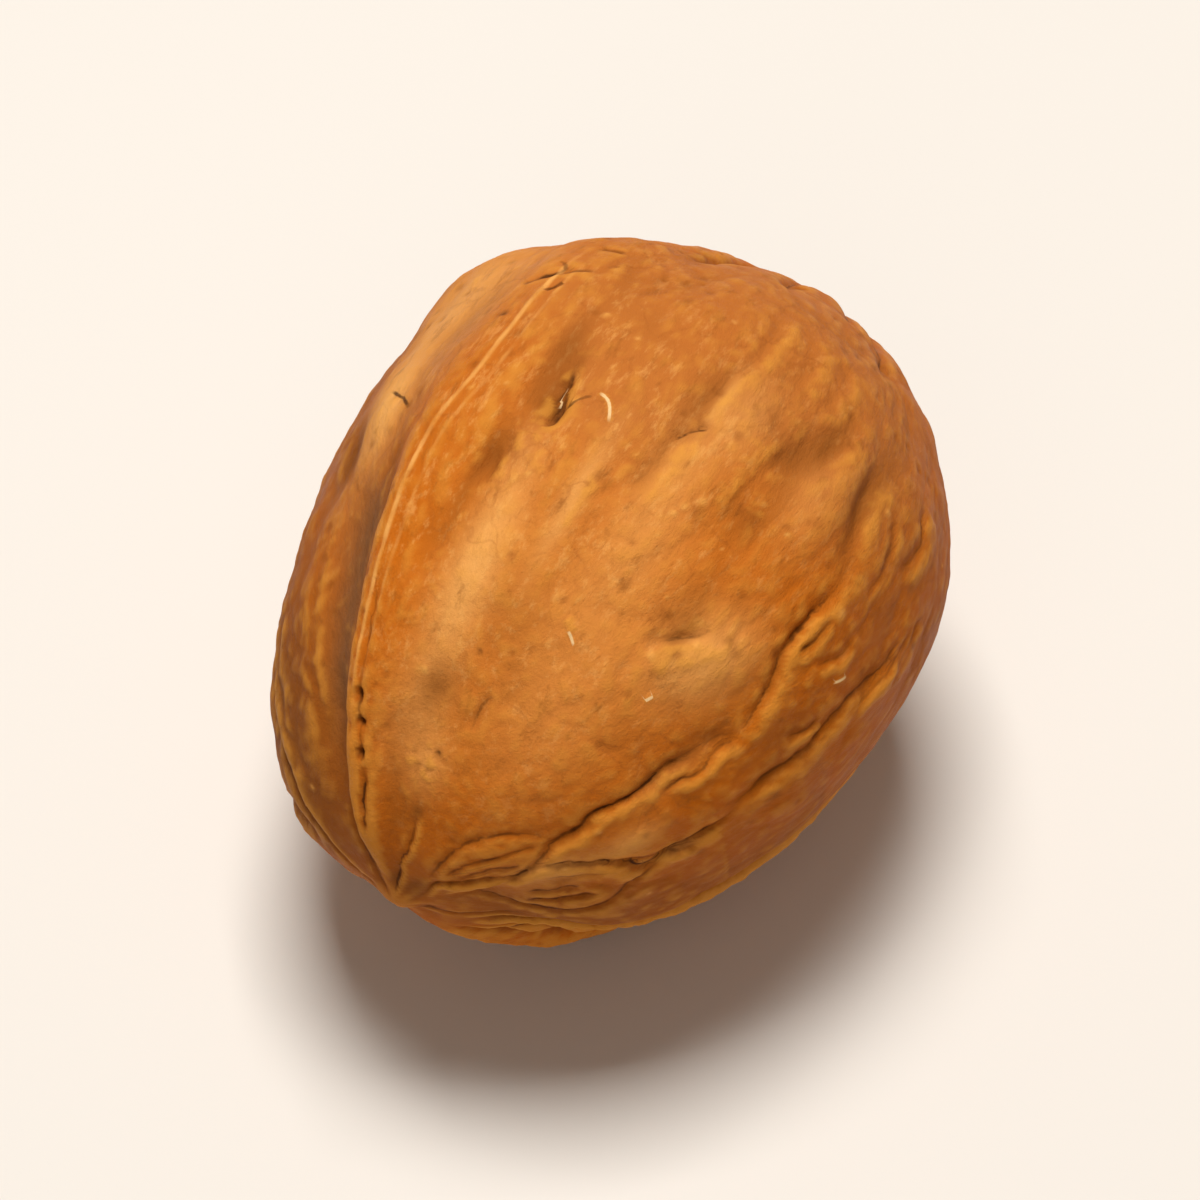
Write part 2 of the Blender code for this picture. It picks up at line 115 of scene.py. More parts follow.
# The lower seam: its crest and the valleys beside it
LOWER_CREST_HEIGHT = 0.8 * MM
LOWER_CREST_WIDTH = 1.9 * MM
LOWER_VALLEY_DEPTH = 0.45 * MM
LOWER_VALLEY_OFFSET = 4.4 * MM
LOWER_VALLEY_WIDTH = 1.9 * MM
LOWER_LINE_WIDTH = 0.35 * MM
LOWER_LINE_MIDDLE = 85
LOWER_LINE_SPREAD = 45
SEAM_WAVE = 0.5 * MM
SEAM_WAVES = 5
SEAM_SPAN = (3, 22, 140, 172)

# How the nut lies: rolled about its length, with its tip slightly down
ROLL = math.radians(27.9)
TIP_DOWN = math.radians(5)

# Squares along each edge of the cube that is blown up into the shell
CUBE_SQUARES = 128
FINE_SIDE = (0.68, -0.2, 0.7)
FINE_SIDE_PULL = 0.3

# Broad swellings and hollows: (latitude, longitude, length and width in mm, height in mm)
SWELLINGS = (
    (35, -68, 8, 6, 0.95), (60, -52, 6, 4, -0.35), (86, -44, 8, 5, -0.45), (119, -30, 4.5, 3.5, 1.1),
    (124, -13, 4, 3.2, 0.62), (145, 2, 5.5, 6, -1), (138, -12, 3.5, 3.5, -0.45), (152, 42, 6, 6, 0.3),
    (85, 138, 8, 6, -0.45), (18, -122, 5, 4, -0.5), (27, 176, 6, 6, -0.75),
    (80.3, 13.6, 1.3, 0.6, -0.42), (93.5, 16.6, 2.5, 1.3, -0.52), (101.5, 14.8, 2.4, 0.8, -0.22),
    (66, 23, 6.5, 2.3, 0.42), (84, 27, 2.6, 1.6, 0.22), (48, 12, 5, 2, 0.12), (84, 34, 4, 2.6, 0.18),
    (96, 30, 3, 2, 0.18), (102, 41.2, 2.6, 1, -0.15), (101.5, 59, 1.2, 0.9, -0.12),
    (104, 61, 1.3, 1, -0.25), (108.3, 64.3, 1.6, 1.1, -0.34), (112.5, 66.8, 1.5, 0.9, -0.25),
    (96, 62, 3, 1, -0.16), (106, 70.6, 3.4, 1.2, 0.28), (106, 76.5, 3.2, 0.9, -0.26),
    (102, 49.5, 3.2, 1.8, 0.26), (69.5, 66.8, 2.2, 1.8, 0.3), (73, 72.5, 2.2, 1.8, 0.3),
    (73, 61.5, 2.6, 1.3, -0.22), (58, 60, 5, 3.4, 0.2), (92, 50, 4, 2.2, 0.22), (88, 72, 4.5, 3, 0.22),
    (114, 80, 3.6, 1, -0.2), (118, 55, 3, 3, 0.16), (120, 30, 5, 4, 0.25), (46, 23, 1.5, 1.2, -0.24),
    (44, 64, 5, 3, 0.2), (46.5, 94, 2.4, 1.2, 0.2), (57, 94, 5, 1.8, 0.18), (73, 95, 3, 1.5, -0.2),
    (85, 90, 3, 2, 0.22), (36, 87, 2.6, 0.9, 0.12), (24, 70, 2.6, 1, 0.14), (68, 112, 6, 2.4, 0.2),
    (96, 96, 3, 2, -0.2), (110, 92, 3, 3, 0.25), (52, -38, 7, 3, 0.25), (80.5, -27, 2.6, 1.1, -0.35),
    (87, -19, 4, 2, 0.22), (91, -158, 8, 5, 0.85), (90, -136, 9, 5, -0.45),
)

# Grooves on the photographed side, read upward from the tip: (path, width, depth, rib, line in mm).
# A rib is a raised edge on the side away from the upper seam, or toward it if negative. A line is
# how much deeper a sharp crease cuts into the bottom of the groove.
READ_GROOVES = (
    (((58, 9), (66, 10), (70.5, 10.8), (75.5, 12.3), (80.3, 13.6), (84, 13.8), (89, 14), (95, 14.5),
      (101, 14.6), (107, 16)), 0.85, 0.26, 0, 0),
    (((86.8, 20.8), (89, 20.4), (91, 20), (93.5, 18.7), (97, 17.6)), 0.4, 0.45, 0, 0),
    (((83, 39), (88, 40.3), (91.5, 40.6), (95, 41.5), (97.6, 43.3)), 0.6, 0.14, 0.12, 0.02),
    (((97, 42.6), (100, 42.3), (104, 42.4), (108, 43.2), (113, 44.6), (120, 45), (128, 44)),
     0.42, 0.1, 0.1, 0.02),
    (((88, 57.5), (92, 57), (96, 57), (100, 58), (104, 60)), 0.45, 0.08, -0.05, 0.03),
    (((66, 58), (70.2, 62.6), (72, 64.6), (75, 67)), 0.55, 0.16, 0.1, 0.05),
    (((2, 84), (7, 76), (11, 71), (15, 77), (19, 82.5), (25, 87.5), (28.5, 86.5), (32, 84.5),
      (36.5, 80.5), (40.5, 80.5), (44, 79.2), (48, 80.6), (51, 81.2), (56, 81.6), (59, 83.5),
      (62, 85)), 0.4, 0.18, 0.12, 0.13),
    (((10, 60), (15.3, 57), (22.5, 58.5), (26, 61), (29.5, 64.5), (32.5, 70), (35.3, 77.5),
      (36.5, 79.8)), 0.5, 0.08, 0.03, 0.08),
    (((54, 80.5), (59, 82.5), (64, 84.5), (69, 86)), 0.75, 0.2, 0.1, 0.04),
    (((66, 87.5), (70, 86), (72, 85), (76, 83.3), (79, 81), (82, 80.2), (85, 80.3), (88, 80.3),
      (91, 80.8), (96, 82)), 0.5, 0.2, 0.12, 0.09),
    (((90, 81), (94, 81), (98, 79.5), (102, 77.8), (106, 76.4), (111, 77), (116, 79)),
     0.6, 0.14, 0.08, 0.015),
    (((28.5, 86), (33.5, 89.5), (37, 93), (40.7, 96.8), (44, 101), (46, 104.3), (50, 103.6),
      (53, 103.5), (56.5, 104), (60, 103.5), (63, 102.5)), 0.46, 0.18, 0.1, 0.14),
    (((60, 102), (66, 100.8), (69, 101), (72, 101.8), (75, 102), (78, 101.2), (82, 101), (88, 101.5),
      (94, 103.5), (101, 103)), 0.55, 0.2, 0.13, 0.08),
    (((12, 77), (16, 95), (21, 109), (27.5, 117), (34, 120), (38.5, 116.5), (42.5, 111),
      (46.8, 107), (50, 104)), 0.56, 0.11, 0.04, 0.1),
    (((25, 108), (32, 110.5), (38.5, 110.5)), 0.4, 0.06, 0, 0.13),
    (((26, 101), (31, 103), (36, 104)), 0.36, 0.04, 0, 0.1),
    (((2, 22), (7, 26), (11, 30), (15, 32), (20.5, 31), (23.8, 29)), 0.3, 0.1, 0.11, 0.12),
    (((1, -20), (8, -14), (16, -12), (24, -10)), 0.4, 0.08, 0.05, 0.08),
    (((1, 150), (8, 140), (17, 132), (26, 130)), 0.42, 0.06, 0, 0.08),
    (((1, -70), (9, -60), (18, -52), (27, -48)), 0.42, 0.1, 0.05, 0.08),
    (((41, 36.5), (46, 36), (49, 37.5)), 0.4, 0.08, 0, 0.06),
    (((47, 42), (53, 39), (59, 39.5)), 0.6, 0.08, 0, 0),
    (((104, 93), (110, 95), (117, 92)), 0.6, 0.18, 0.12, 0.06),
    (((32, -28), (44, -33), (58, -34), (72, -31), (79, -29)), 1.1, 0.2, 0, 0),
    (((18, 4.4), (20, 5), (24, 5.7), (28, 5.7), (31, 5)), 0.36, 0.1, 0, 0.18),
)

# Fine creases and cracks that only the close surface shows, in the same form
FINE_CREASES = (
    (((41.2, 2.9), (43.2, 2.6)), 0.24, 0.06, 0, 0.24),
    (((37.6, 3.9), (39.2, 3.5)), 0.24, 0.06, 0, 0.24),
    (((32, 4.5), (34, 4)), 0.26, 0.06, 0, 0.24),
    (((28, 5.7), (34, 4.2), (39, 3.5), (44, 2.8), (50, 3.5), (56, 2.4), (62, 2.2)), 0.24, 0.05, 0, 0.06),
    (((68, 60.4), (70.2, 62.8), (73, 65.4)), 0.26, 0.05, 0.06, 0.07),
    (((79.5, 80.4), (82, 80.7), (85, 80.6), (88.5, 80.8)), 0.24, 0.05, 0.15, 0.1),
    (((81, 82.6), (83, 83.8), (86, 84), (88.5, 84.3)), 0.28, 0.1, 0.08, 0.08),
    (((53, 85.8), (57, 86.6), (60.5, 87.4), (64, 87.2), (68, 88.2)), 0.28, 0.06, 0.12, 0.09),
    (((62, 44), (63.5, 42)), 0.2, 0.04, 0.1, 0),
    (((35, 26), (36, 30), (34, 33)), 0.24, 0.05, 0.08, 0),
    (((31, 24.5), (33, 28), (31.5, 33)), 0.24, 0.05, 0.08, 0),
    (((40, 98), (46, 101), (51, 105), (56, 107)), 0.24, 0.06, 0.1, 0.06),
    (((14, 66), (20, 69.5), (26, 73), (31, 77), (34, 79.8)), 0.3, 0.05, 0.02, 0.11),
    (((14, 71), (19, 75.5), (25, 80), (30, 83)), 0.28, 0.03, 0, 0.08),
    (((30, 95), (36, 98), (42, 102)), 0.26, 0.03, 0, 0.06),
    (((73, 96), (76, 97.5), (79, 98)), 0.3, 0.1, 0.08, 0.06),
    (((82, 88), (86, 91), (90, 92)), 0.3, 0.1, 0.08, 0.04),
    (((84, 103.5), (88, 104.5), (95, 105.5), (102, 104.5)), 0.3, 0.08, 0.1, 0.05),
    (((95, 87), (102, 88), (109, 85)), 0.36, 0.12, 0.08, 0.04),
    (((94, 108), (99, 107), (105, 107)), 0.36, 0.12, 0.08, 0.04),
    (((113, 53), (120, 54), (127, 52)), 0.5, 0.09, 0.06, 0),
    (((113, 60), (120, 62), (126, 61)), 0.5, 0.08, 0.06, 0),
    (((74, 30), (79, 31), (84, 31.5)), 0.36, 0.05, 0.09, 0),
    (((46, 50), (52, 53), (57, 56)), 0.4, 0.06, 0, 0),
    (((56, 62), (60, 60), (64, 57)), 0.4, 0.07, 0.05, 0),
    (((30, -22), (42, -24), (54, -26), (66, -25)), 0.36, 0.08, 0.05, 0),
    (((40, -40), (50, -43), (58, -41)), 0.36, 0.1, 0.05, 0.04),
)

# Small dark pits: (latitude, longitude, length, width and depth in mm)
DARK_PITS = (
    (88.4, 20.7, 0.3, 0.21, 0.26), (89.8, 20.3, 0.48, 0.2, 0.26), (91.4, 19.8, 0.6, 0.18, 0.2),
    (93.5, 18.5, 0.6, 0.1, 0.1), (36.2, 30.6, 0.15, 0.17, 0.06), (33, 4.3, 0.22, 0.16, 0.1),
    (38.5, 3.7, 0.24, 0.13, 0.1), (42.2, 2.7, 0.36, 0.12, 0.1), (102.4, 0.2, 0.15, 0.24, 0.06),
    (53.5, 30, 0.12, 0.12, 0.03),
)

# Thin dark cracks: (path, width and height in mm)
CRACKS = (
    (((109.2, -1.8), (111, 1), (111.8, 3), (113.7, 4.8)), 0.26, -0.13),
    (((112.8, 4.6), (114, 4), (115.6, 1.6)), 0.2, -0.1),
    (((112.2, 3.6), (113.5, 6), (115.2, 9)), 0.2, -0.1),
    (((107.7, 3.6), (109.3, 5), (111, 6.4)), 0.24, -0.12),
    (((121.6, 4.6), (122.4, 6.8), (123, 9.4)), 0.18, -0.14),
    (((86.2, -11.2), (88, -15), (90, -19.5)), 0.16, -0.08),
    (((90.6, 21), (92.6, 22.9), (94, 25)), 0.12, -0.05),
    (((89, 20.8), (93.5, 20), (98, 18)), 0.18, -0.08),
    (((94, 41.3), (96, 42), (97.3, 43.2), (98.2, 44.6)), 0.13, -0.12),
)

# Tiny raised slivers, their pale colour partly a painted glint, in the same form
SLIVERS = (
    (((91.6, 19.7), (93.5, 19.1), (95.6, 18.5)), 0.1, 0.14),
    (((94.6, 25.4), (93.8, 27.8), (92.4, 29.4), (90.4, 30.6)), 0.13, 0.16),
    (((61.1, 47.2), (62.5, 44)), 0.11, 0.08),
    (((60.7, 65.7), (62.5, 67.1)), 0.12, 0.09),
    (((83, 93.6), (85.6, 95.4)), 0.12, 0.09),
)

# Pale crumbs, some of them painted glints: (latitude, longitude, radius in mm)
CRUMBS = (
    (88.2, 51.4, 0.24), (85.8, 49, 0.2), (84.2, 48.2, 0.18), (88.3, 5, 0.14), (79.5, 22.5, 0.18),
    (66.3, 60.8, 0.24), (90, 84.4, 0.24), (108.3, 82.3, 0.2), (108.5, 17, 0.18), (42.9, 84.3, 0.16),
    (47.8, 18.8, 0.2), (113.2, -20.5, 0.2), (71.5, 66, 0.2),
)
CRUMB_HEIGHT = 0.09 * MM

# Grooves on the sides that the photograph hides follow a rule: long wandering grooves from the
# tip to the stem end, linked by short slanting ones into a loose net.
HIDDEN_SPANS = ((144, 170), (190, 312))
LONG_SPACING = 17
LONG_START = 13
LONG_END = 154
LONG_STEP = 9
LONG_WANDER = 2.6
LONG_WIDTHS = (0.6, 0.85)
LONG_DEPTHS = (0.34, 0.62)
LONG_RIBS = (0.08, 0.26)
LINKS_PER_GAP = 4
LINK_LATITUDES = (30, 132)
LINK_RISES = (9, 20)
LINK_WIDTHS = (0.5, 0.65)
LINK_DEPTHS = (0.2, 0.38)

# Short grooves round the stem end, above the hidden sides: first and last longitude, and lengths
STEM_SPAN = (-50, 110)
STEM_SPACING = 17
STEM_START = (131, 142)
STEM_END = (155, 165)
STEM_BEND = 3

# How grooves are drawn on the shell
POINTS_PER_SPAN = 5
CRINKLE_HEIGHT = 0.2 * MM
CRINKLE_SIZE = 1.7 * MM
END_FADE = 3 * MM
SHORTEST_END_FADE = 0.2
TIP_FADE = (0.8, 4.5)
TIP_THINNING = 0.45
TIP_THINNING_SPAN = (4, 38)
GROOVE_REACH = 4
RIB_OFFSET = 1.8
RIB_WIDTH = 1.1

# How jagged the lines are: (size and push in mm)
JAGS = ((1.1, 0.16), (0.45, 0.07))

# The sharp line at the bottom of a groove, its depth on hidden sides, and the stains and the painted
# highlight on the ribs
LINE_WIDTH = 0.2 * MM
LINE_SHARE = 0.4
STAIN_WIDTH = 0.16 * MM
STAIN_SPREAD = 0.12
STAIN_PER_DEPTH = 4.5
RIB_PER_HEIGHT = 4

# Thin lines that the material draws: how far round them their distance is kept and their strength
# falls (in mm), and how strong and thick each kind is
THIN_REACH = 0.8
THIN_SPREAD = 0.28
THIN_PER_DEPTH = 7
HIDDEN_LINE_SHARE = 0.75
CRACK_THICKNESS = 9

# Soft unevenness all over: (size in mm, height in mm), and finer ones that only the looks need
UNEVENNESS = ((8, 0.22), (3.4, 0.11), (1.6, 0.035))
FINE_UNEVENNESS = ((1, 0.04), (0.55, 0.02))

# Lengthwise wrinkles, flutes and curled ridges, and short random creases
WRINKLES = ((5, 0.5, 0.2, 0.55), (2.1, 0.4, 0.085, 0.6), (1, 0.34, 0.055, 0.7))
GROOVE_WRINKLES = (0.55, 0.34, 0.15, 0.7)
CALM_TIP = 0.4
CALM_TIP_SPAN = (12, 40)
FLUTE_SIZE = 0.42
FLUTE_MIDDLE = 6
FLUTE_SPREAD = 4.5
FLUTE_HEIGHT = 0.22 * MM
CURL_SIZE = 0.75 * MM
CURL_HEIGHT = 0.16 * MM
CURLED_PATCHES = (
    (32, 29, 2.4, 1.8, 1), (83, 19.5, 2.6, 1.8, 1), (54, 14, 5, 1.6, 0.5), (94, 56, 2.4, 1.8, 0.6),
    (76, 97, 3, 2, 0.6), (87, 86, 4, 1.8, 0.7), (62, 86, 4, 1.4, 0.6), (26, 75, 5, 3, 0.2),
    (100, 102, 5, 2.5, 0.4), (96, -130, 6, 5, 0.6), (60, -95, 7, 4, 0.6), (70, 160, 6, 4, 0.6),
)
SHORT_CREASES = 130
CREASE_LENGTHS = (1.5, 6)
CREASE_WIDTHS = (0.24, 0.4)
CREASE_DEPTHS = (0.02, 0.07)

# Random pits and specks: (how many, radii in mm, heights in mm)
PITS = (260, (0.12, 0.3), (-0.03, -0.1))
SPECKS = (46, (0.07, 0.14), (0.02, 0.06))

# How often relief is averaged with its neighbours, and the differences that colour fully: hollows get
# painted shade, raised bits a paleness that is partly wear and partly painted highlight
NEAR_SPREAD = 14
FAR_SPREAD = 160
FULL_HOLLOW_SHADE = 0.22 * MM
FULL_RAISE = 0.05 * MM

# The part of the shell painted paler as light, with deeper orange painted as shade round it: the
# direction of its middle, and its spread in degrees
PAINTED_LIGHT_MIDDLE = (0.42, -0.25, 0.87)
PAINTED_LIGHT_SPREAD = 42

# How far from the middle of each end its rosy tint reaches, in radians
TIP_TINT_ANGLE = 0.12
STEM_TINT_ANGLE = 0.22

# Colour patches read from the photograph: (latitude, longitude, length and width in mm, strength)
# Pale patches: partly paler shell, partly painted light on the bright plate, the bulges and the upper
# left lobe
PALE_AND_PAINTED_LIGHT_PATCHES = (
    (64, 21, 6, 1.5, 1.3), (79, 31.8, 4, 0.6, 0.9), (104, 44.4, 2, 0.35, 0.6), (103, 49, 3, 1.5, 0.5),
    (91, 44, 3, 1.5, 0.4), (69.5, 66.5, 3, 2, 0.7), (73, 73, 3, 1.8, 0.6), (48, 52, 5, 3.5, 0.3),
    (63, 46, 7, 5, 0.4), (80, 46, 4, 2, 0.4), (40, 19, 3, 1.6, 0.5), (86, -17, 3, 1.4, 0.9),
    (110, -18, 5, 4, 1.1), (90, -21, 5, 2.2, 0.8), (30, 94, 4, 1.6, 0.5), (33, 29, 2, 1.2, 0.6),
    (46.5, 93.5, 1.6, 0.8, 0.9), (32, 89.5, 1.6, 0.5, 0.6), (36, 95, 2, 0.6, 0.5),
    (52, 105.3, 1.4, 0.4, 0.7), (98, 67, 3, 1.4, 0.4),
)
# Brown patches: a few are stains, most are painted shade in the hollows, on the lower left lobe and on
# the underside
STAIN_AND_SHADE_PATCHES = (
    (80.5, 13.8, 1, 0.35, 1.2), (76, 12.2, 2.4, 0.35, 0.7), (93.5, 16.8, 1.8, 0.7, 0.7),
    (97, 18.6, 1.6, 0.35, 0.8), (90.5, 18.2, 0.9, 0.7, 0.8), (101.5, 14.6, 1.8, 0.6, 0.8),
    (103, 60, 1.4, 0.9, 0.6), (108.3, 64.6, 1.6, 0.7, 0.9), (112.5, 66.5, 1.5, 0.8, 0.6),
    (89.8, 60, 1.2, 0.7, 0.8), (86.5, 51.6, 0.5, 0.4, 0.8), (96, 62, 3, 0.9, 0.4),
    (105, 76.8, 2.6, 0.8, 0.9), (114, 80, 3, 1, 0.5), (46, 23, 1.1, 0.9, 1),
    (24.3, 30.6, 0.45, 0.35, 1.5), (6.5, 62, 0.9, 0.5, 1.2), (6, 21, 0.7, 0.3, 1),
    (73, 95, 2.6, 1.4, 0.7), (71.5, 62.8, 1.6, 0.5, 0.9), (76, 62.5, 2, 1, 0.3),
    (75, 70.5, 0.3, 0.4, 0.8), (102, 41.3, 2.4, 0.8, 0.7), (80.5, -27, 2.4, 1, 1.6),
    (86, -32, 3, 1, 0.6), (69, -9, 3, 1.2, 0.6), (62, 33, 3, 1.4, 0.3), (96, 92, 6, 3, 0.4),
    (44, -36, 9, 4, 0.8), (28, -24, 6, 4, 0.6), (46, -62, 10, 6, 0.9), (74, -60, 12, 6, 0.6),
    (24, 128, 6, 4, 0.6), (46, 130, 12, 4, 0.9),
)
# Deeper orange patches: partly the shell's own tone, partly painted shade on the sides and underside
ORANGE_AND_SHADE_PATCHES = (
    (30, 8, 8, 2.6, 1), (58, 7, 9, 1.8, 0.5), (76, 7, 6, 1.6, 0.4), (94, 10, 5, 1.4, 0.6),
    (24, 66, 7, 6, 0.7), (62, 108, 13, 5, 0.9), (34, 116, 9, 6, 0.9), (104, 90, 9, 5, 0.7),
    (56, 74, 6, 3, 0.5), (36, 40, 6, 4, 0.4), (50, -60, 14, 8, 0.8), (60, 150, 20, 12, 0.8),
    (60, -120, 20, 14, 0.8),
)
ROSY_PATCHES = (
    (116, 22, 9, 8, 0.9), (122, 55, 7, 7, 0.9), (96, -8, 4, 1.4, 0.8), (84, -8, 2, 1, 0.4),
    (112, 74, 6, 5, 0.6), (74, -22, 7, 3, 0.6), (98, 30, 5, 4, 0.5), (82.5, 18, 2, 1, 0.6),
    (57, 84, 3, 0.8, 0.6),
)


def smooth_step(values, low, high):
    """0 below low, 1 above high, and a smooth rise between them."""
    t = np.clip((values - low) / (high - low), 0.0, 1.0)
    return t * t * (3.0 - 2.0 * t)


def plateau(values, span):
    """0 outside the span, 1 between its two middle values, and smooth steps between them."""
    rises, risen, falls, fallen = span
    return smooth_step(values, rises, risen) * (1.0 - smooth_step(values, falls, fallen))


def bell(values, width):
    """A bell curve that is 1 in the middle."""
    return np.exp(-((values / width) ** 2))


def outward(vectors):
    """Each vector at length 1."""
    return vectors / np.linalg.norm(vectors, axis=1)[:, None]


def shell_points(latitude, longitude):
    """Points of the plain egg-like shell, in the nut's own frame."""
    polar = np.radians(latitude)
    around = np.radians(longitude)
    along = -np.cos(polar)
    half_length = np.where(along < 0.0, TIP_HALF_LENGTH, STEM_HALF_LENGTH)
    girth = np.sin(polar) * (1.0 + STEM_END_FATNESS * along)
    girth = girth * (1.0 - TIP_PINCH * bell(polar, TIP_PINCH_ANGLE))
    x = CHEEK_HALF_WIDTH * girth * np.sin(around)
    z = SEAM_HALF_WIDTH * girth * np.cos(around)
    return np.stack([x, half_length * along, z], axis=-1)


def scar_ring(latitude):
    """Where the edge of the stem scar is: a thin sunken ring with a brown stain."""
    return bell(np.pi - np.radians(latitude) - SCAR_ANGLE, SCAR_RING_WIDTH)


def end_relief(points, latitude):
    """Height of the point at the tip, and of the stem scar with its rim, ring and grain."""
    from_stem = np.pi - np.radians(latitude)
    point = POINT_HEIGHT * bell(np.radians(latitude), POINT_ANGLE)
    rim = SCAR_RIM_HEIGHT * bell(from_stem - SCAR_RIM_ANGLE, SCAR_RIM_WIDTH)
    inside = SCAR_ROUGHNESS * noise_at(points, SCAR_GRAIN) - SCAR_DEPTH
    ring = SCAR_RING_DEPTH * scar_ring(latitude)
    return point + rim + inside * bell(from_stem, SCAR_ANGLE) - ring


def across_upper_seam(latitude, longitude):
    """Degrees to the right of the upper seam's line, which sways on its way to the stem end."""
    line = UPPER_SWAY_START
    for low, high, shift in UPPER_SWAYS:
        line = line + shift * smooth_step(latitude, low, high)
    return longitude - line


def upper_seam(latitude, across):
    """Height of the upper seam with its band on the right and its valley on the left."""
    foot, top = UPPER_CREST_DROP
    left = smooth_step(across, foot - UPPER_SOFT_DROP * smooth_step(latitude, *UPPER_SOFT_SPAN), top)
    right = np.exp(-((np.maximum(across, 0.0) / UPPER_BAND_EDGE) ** 3))
    valley = UPPER_VALLEY_DEPTH * bell(across - UPPER_VALLEY_MIDDLE, UPPER_VALLEY_WIDTH)
    return UPPER_CREST_HEIGHT * left * right - valley * plateau(latitude, UPPER_VALLEY_SPAN)


def bead_relief(latitude, across):
    """Height of the fine beads along the top of the upper seam."""
    beads = sum(rise * MM * bell(across - place, width) for place, width, rise in UPPER_BEADS)
    return beads * plateau(latitude, UPPER_BEAD_SPAN)


def across_lower_seam(points, latitude):
    """Distance to the side of the lower seam's line, which waves on its way."""
    return points[:, 0] + SEAM_WAVE * np.sin(np.radians(latitude) * SEAM_WAVES)


def lower_seam(points, latitude):
    """Height of the lower seam, a rounded crest between two shallow valleys."""
    crest = LOWER_CREST_HEIGHT * bell(across_lower_seam(points, latitude), LOWER_CREST_WIDTH)
    beside = np.abs(points[:, 0]) - LOWER_VALLEY_OFFSET
    return crest - LOWER_VALLEY_DEPTH * bell(beside, LOWER_VALLEY_WIDTH)


def seam_relief(points, latitude, across):
    """Height of the two seams."""
    upper = upper_seam(latitude, across)
    lower = lower_seam(points, latitude)
    return np.where(points[:, 2] > 0.0, upper, lower) * plateau(latitude, SEAM_SPAN)


def patch_sum(points, patches):
    """Sum of soft oval patches, each with its own strength, at every point."""
    total = np.zeros(len(points))
    for latitude, longitude, length, width, strength in patches:
        centre = shell_points(latitude, longitude)
        ahead = shell_points(latitude + 1.0, longitude) - centre
        beside = shell_points(latitude, longitude + 1.0) - centre
        offset = points - centre
        along = offset @ (ahead / np.linalg.norm(ahead)) / (length * MM)
        across = offset @ (beside / np.linalg.norm(beside)) / (width * MM)
        near = np.linalg.norm(offset, axis=1) < 3.0 * max(length, width) * MM
        total += np.where(near, strength * np.exp(-along ** 2 - across ** 2), 0.0)
    return total


def noise_at(points, size):
    """Smooth repeatable noise from -1 to 1 at each point."""
    return np.array([noise.noise(Vector(p)) for p in (points / size).tolist()])


def noise_push(points, size):
    """Smooth repeatable noise as a small arrow at each point."""
    return np.array([noise.noise_vector(Vector(p))[:] for p in (points / size).tolist()])


def bending(points, size):
    """A soft sideways push that bends wrinkles of a size."""
    return 0.8 * size * noise_push(points, 2.5 * size)


def uneven_relief(points, steps):
    """Height of the soft unevenness all over the shell."""
    height = np.zeros(len(points))
    for size, rise in steps:
        height += rise * MM * noise_at(points, size * MM)
    return height


def wrinkle_relief(points, wrinkles):
    """Height of soft bulges between sharp wrinkles, drawn out along the nut."""
    height = np.zeros(len(points))
    for size, stretch, rise, sharpness in wrinkles:
        stretched = points * np.array([1.0, stretch, 1.0]) + bending(points, size * MM)
        height += rise * MM * (np.abs(noise_at(stretched, size * MM)) ** sharpness - 0.4)
    return height


def crinkle_relief(points):
    """Height of the small curled wrinkles, which only some patches have."""
    curls = np.abs(noise_at(points + bending(points, CURL_SIZE), CURL_SIZE)) ** 0.8
    return CURL_HEIGHT * curls * np.clip(patch_sum(points, CURLED_PATCHES), 0.0, 1.0)


def flute_relief(latitude, longitude):
    """Height of the small ridges that run together at both ends."""
    around = np.radians(longitude)
    circle = np.stack([np.sin(around), np.cos(around), 0.0 * around], axis=-1)
    flutes = noise_at(circle, FLUTE_SIZE)
    near_tip = bell(latitude - FLUTE_MIDDLE, FLUTE_SPREAD)
    near_stem = bell(180.0 - latitude - 2.0 * FLUTE_MIDDLE, 1.5 * FLUTE_SPREAD)
    return FLUTE_HEIGHT * flutes * (near_tip + near_stem)


def curve_value(values, t):
    """One coordinate of a Catmull-Rom curve between the two middle values."""
    a, b, c, d = values
    return b + 0.5 * t * (c - a + t * (2 * a - 5 * b + 4 * c - d + t * (3 * (b - c) + d - a)))


def smooth_path(path):
    """Points on the shell along a smooth, slightly crinkled line through the path's own points."""
    knots = [path[0], *path, path[-1]]
    line = []
    for a, b, c, d in zip(knots, knots[1:], knots[2:], knots[3:]):
        for step in range(POINTS_PER_SPAN):
            t = step / POINTS_PER_SPAN
            line.append([curve_value(values, t) for values in zip(a, b, c, d)])
    line.append(path[-1])
    latitude, longitude = np.array(line, dtype=float).T
    points = shell_points(latitude, longitude)
    return points + CRINKLE_HEIGHT * noise_push(points, CRINKLE_SIZE)


